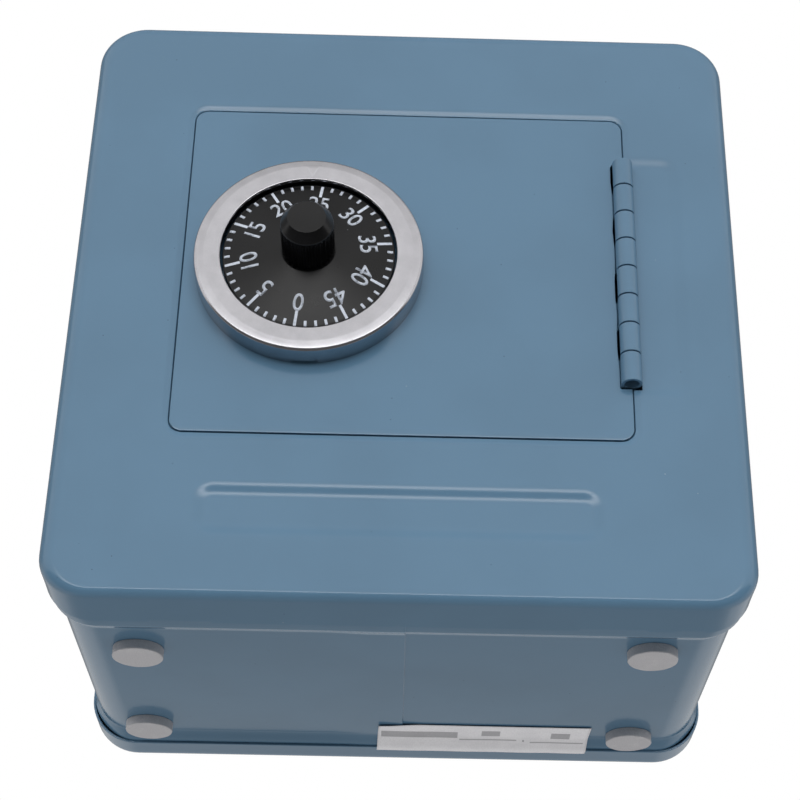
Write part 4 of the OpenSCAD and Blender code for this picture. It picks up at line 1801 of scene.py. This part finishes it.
    def numeral(self, draft: Draft, number: int) -> None:
        """Adds one numeral to the graduations, its top outwards.

        Args:
            draft: The graduations' draft.
            number: The number.
        """
        curve = bpy.data.curves.new("numeral", "FONT")
        curve.body = str(number)
        curve.size = self.numeral_h / self.cap_share
        curve.align_x = "CENTER"
        curve.extrude = (self.ink_rise + self.ink_sink) / 2
        curve.resolution_u = 5
        text = bpy.data.objects.new("numeral", curve)
        bpy.context.scene.collection.objects.link(text)
        graph = bpy.context.evaluated_depsgraph_get()
        mesh = bpy.data.meshes.new_from_object(text.evaluated_get(graph))
        points = np.array([v.co for v in mesh.vertices], float)
        faces = [tuple(p.vertices) for p in mesh.polygons]
        width = np.ptp(points[:, 0])
        points[:, 0] -= points[:, 0].min() + width / 2
        points[:, 0] *= self.numeral_narrow
        points[:, 1] += self.numeral_r - (points[:, 1].min() + points[:, 1].max()) / 2
        points[:, 2] += (self.ink_rise - self.ink_sink) / 2
        for step in ((-1, -1), (-1, 1), (1, -1), (1, 1)):
            moved = points + np.array([*step, 0]) * self.ink_spread
            draft.add(self.on_face(moved, self.turn_of(number)), faces)
        bpy.data.objects.remove(text)
        bpy.data.curves.remove(curve)
        bpy.data.meshes.remove(mesh)

    def lock(self) -> None:
        """Dresses the lock's turning parts, which keep their shapes."""
        turned = ("spindle", "drive_pin", "wheel_pin", "spacer_washer", "wheel_collar", "retaining_clip")
        for name in turned:
            self.shop.node(name, self.steel, edge=0.08)
        self.shop.node("spring_washer", self.steel, edge=0.04)
        for name in ("drive_disc", "combination_wheel"):
            self.shop.node(name, self.zinc, edge=0.12)

    def build(self) -> None:
        """Builds the dial, the knob and the graduations, and dresses the lock."""
        self.disc()
        self.knob()
        self.graduations()
        self.lock()


# ---------------------------------------------------------------- the stage


@dataclass
class Stage:
    """A pale floor, a soft studio and the camera."""

    floor_size: float = 6.0
    box_level: float = 1.0
    strip_level: float = 4.4
    dark_level: float = 0.13
    back_level: float = 0.66
    ground_level: float = 0.36
    high_level: float = 0.25

    def floor(self) -> None:
        """Lays the floor under the pads; it shows from above only and hides no light."""
        mesh = bpy.data.meshes.new("floor")
        half = self.floor_size / 2
        ends = [(-half, -half, 0), (half, -half, 0), (half, half, 0), (-half, half, 0)]
        mesh.from_pydata(ends, [], [(0, 1, 2, 3)])
        floor = bpy.data.objects.new("floor", mesh)
        bpy.context.scene.collection.objects.link(floor)
        mesh.materials.append(FloorFinish("floor_matt").material())
        floor.visible_shadow = False
        floor.visible_diffuse = False
        floor.visible_glossy = False

    def world(self) -> None:
        """Lights the studio: a softbox in front with a bright strip at its foot, dark below it."""
        world = bpy.data.worlds.new("studio")
        bpy.context.scene.world = world
        world.use_nodes = True
        shader = Shader(world.node_tree)
        x, y, z = shader.axes(shader.node("ShaderNodeTexCoord", {}, {}, "Generated"))
        across = x.absolute()
        behind = y.step(-0.06, 0.06)
        softbox = z.step(-0.03, 0.03) * (0.4 + 0.6 * z.step(0.92, 0.7))
        strip = across.step(0.6, 0.35) * z.step(-0.02, 0.03) * z.step(0.34, 0.08)
        front = self.dark_level + softbox * (self.box_level - self.dark_level)
        front = front + strip * (self.strip_level - self.box_level)
        horizon = z.step(-0.37, -0.27).most(across.step(0.35, 0.6)) * z.step(0.3, 0.16)
        ground = self.ground_level + z.step(0.1, 0.3) * (self.high_level - self.ground_level)
        back = ground + horizon * (self.back_level - self.ground_level)
        level = front * (1 - behind) + behind * back
        eye = shader.node("ShaderNodeLightPath", {}, {}, "Is Camera Ray")
        background = shader.tree.nodes["Background"]
        shader.feed(background.inputs["Color"], (1.0, 1.0, 1.0, 1.0))
        shader.feed(background.inputs["Strength"], level * (1 - eye) + eye)

    def lamp(self, name: str, place: tuple[float, float, float], size: float, power: float) -> None:
        """Adds a square lamp that fills shade and is not mirrored.

        Args:
            name: The light's name.
            place: Where it stands, in metres; it faces the bank.
            size: Its side, in metres.
            power: Its power, in watts.
        """
        light = bpy.data.lights.new(name, "AREA")
        light.shape = "SQUARE"
        light.size = size
        light.energy = power
        lamp = bpy.data.objects.new(name, light)
        lamp.location = place
        aim = Vector((0, 0, 0.06)) - Vector(place)
        lamp.rotation_euler = aim.to_track_quat("-Z", "Y").to_euler()
        lamp.visible_glossy = False
        bpy.context.scene.collection.objects.link(lamp)

    def camera(self) -> None:
        """Sets the camera below and in front of the safe, looking up at its face."""
        data = bpy.data.cameras.new("camera")
        data.sensor_width = 36.0
        data.lens = 82.98
        data.shift_x = -0.05
        data.shift_y = 0.05
        data.clip_start = 0.01
        camera = bpy.data.objects.new("camera", data)
        right = Vector((0.99956, -0.02786, 0.01032))
        down = Vector((0.02241, 0.47871, -0.87769))
        forward = Vector((0.01951, 0.87753, 0.47912))
        turn = Matrix((right, -down, -forward)).transposed()
        camera.matrix_world = Matrix.Translation((0.00018, -0.32656, -0.12693)) @ turn.to_4x4()
        bpy.context.scene.collection.objects.link(camera)
        bpy.context.scene.camera = camera

    def build(self) -> None:
        """Builds the stage."""
        self.floor()
        self.world()
        self.lamp("fill_front", (0.0, -1.1, 0.4), 0.7, 3.3)
        self.lamp("fill_below", (0.0, -0.15, -1.05), 0.8, 3.1)
        self.lamp("fill_back", (0.3, 1.1, 0.6), 0.8, 6.0)
        self.camera()
        bpy.context.scene.view_settings.view_transform = "Standard"


# ---------------------------------------------------------------- the whole bank


def corners(box: tuple[Vector, Vector]) -> list[list[float]]:
    """A box's two corners as plain lists."""
    return [[float(c) for c in corner] for corner in box]


def main() -> None:
    """Loads the frame and builds the bank round it."""
    logging.basicConfig(level=logging.INFO, format="%(message)s")
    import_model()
    shop = Workshop(Layout.from_frame())
    enamel = Paint("case_enamel")
    steel = PlainMetal("bright_steel_wire")
    zinc = PlainMetal("zinc_plated_steel", rgb(186, 186, 184), 0.38, dull=rgb(150, 146, 132))
    brass = PlainMetal("turned_brass", rgb(206, 178, 108), 0.3, (1.0, 0.2, 1.0), rgb(150, 118, 62))
    Case(shop, enamel, Foam("grey_foam")).build()
    shop.node("strike_plate", zinc, edge=0.15)
    Hinge(shop, enamel, steel).build()
    Door(shop, enamel, steel, zinc, brass).build()
    dial = BlackPlastic("dial_black", rgb(10, 10, 11), 0.3, ior=1.37)
    knob = BlackPlastic("knob_black", rgb(7, 7, 8), 0.22, 0.2, ior=1.4)
    Dial(shop, dial, knob, PrintInk("dial_white_ink"), steel, zinc).build()
    Stage().build()


if __name__ == "__main__":
    main()
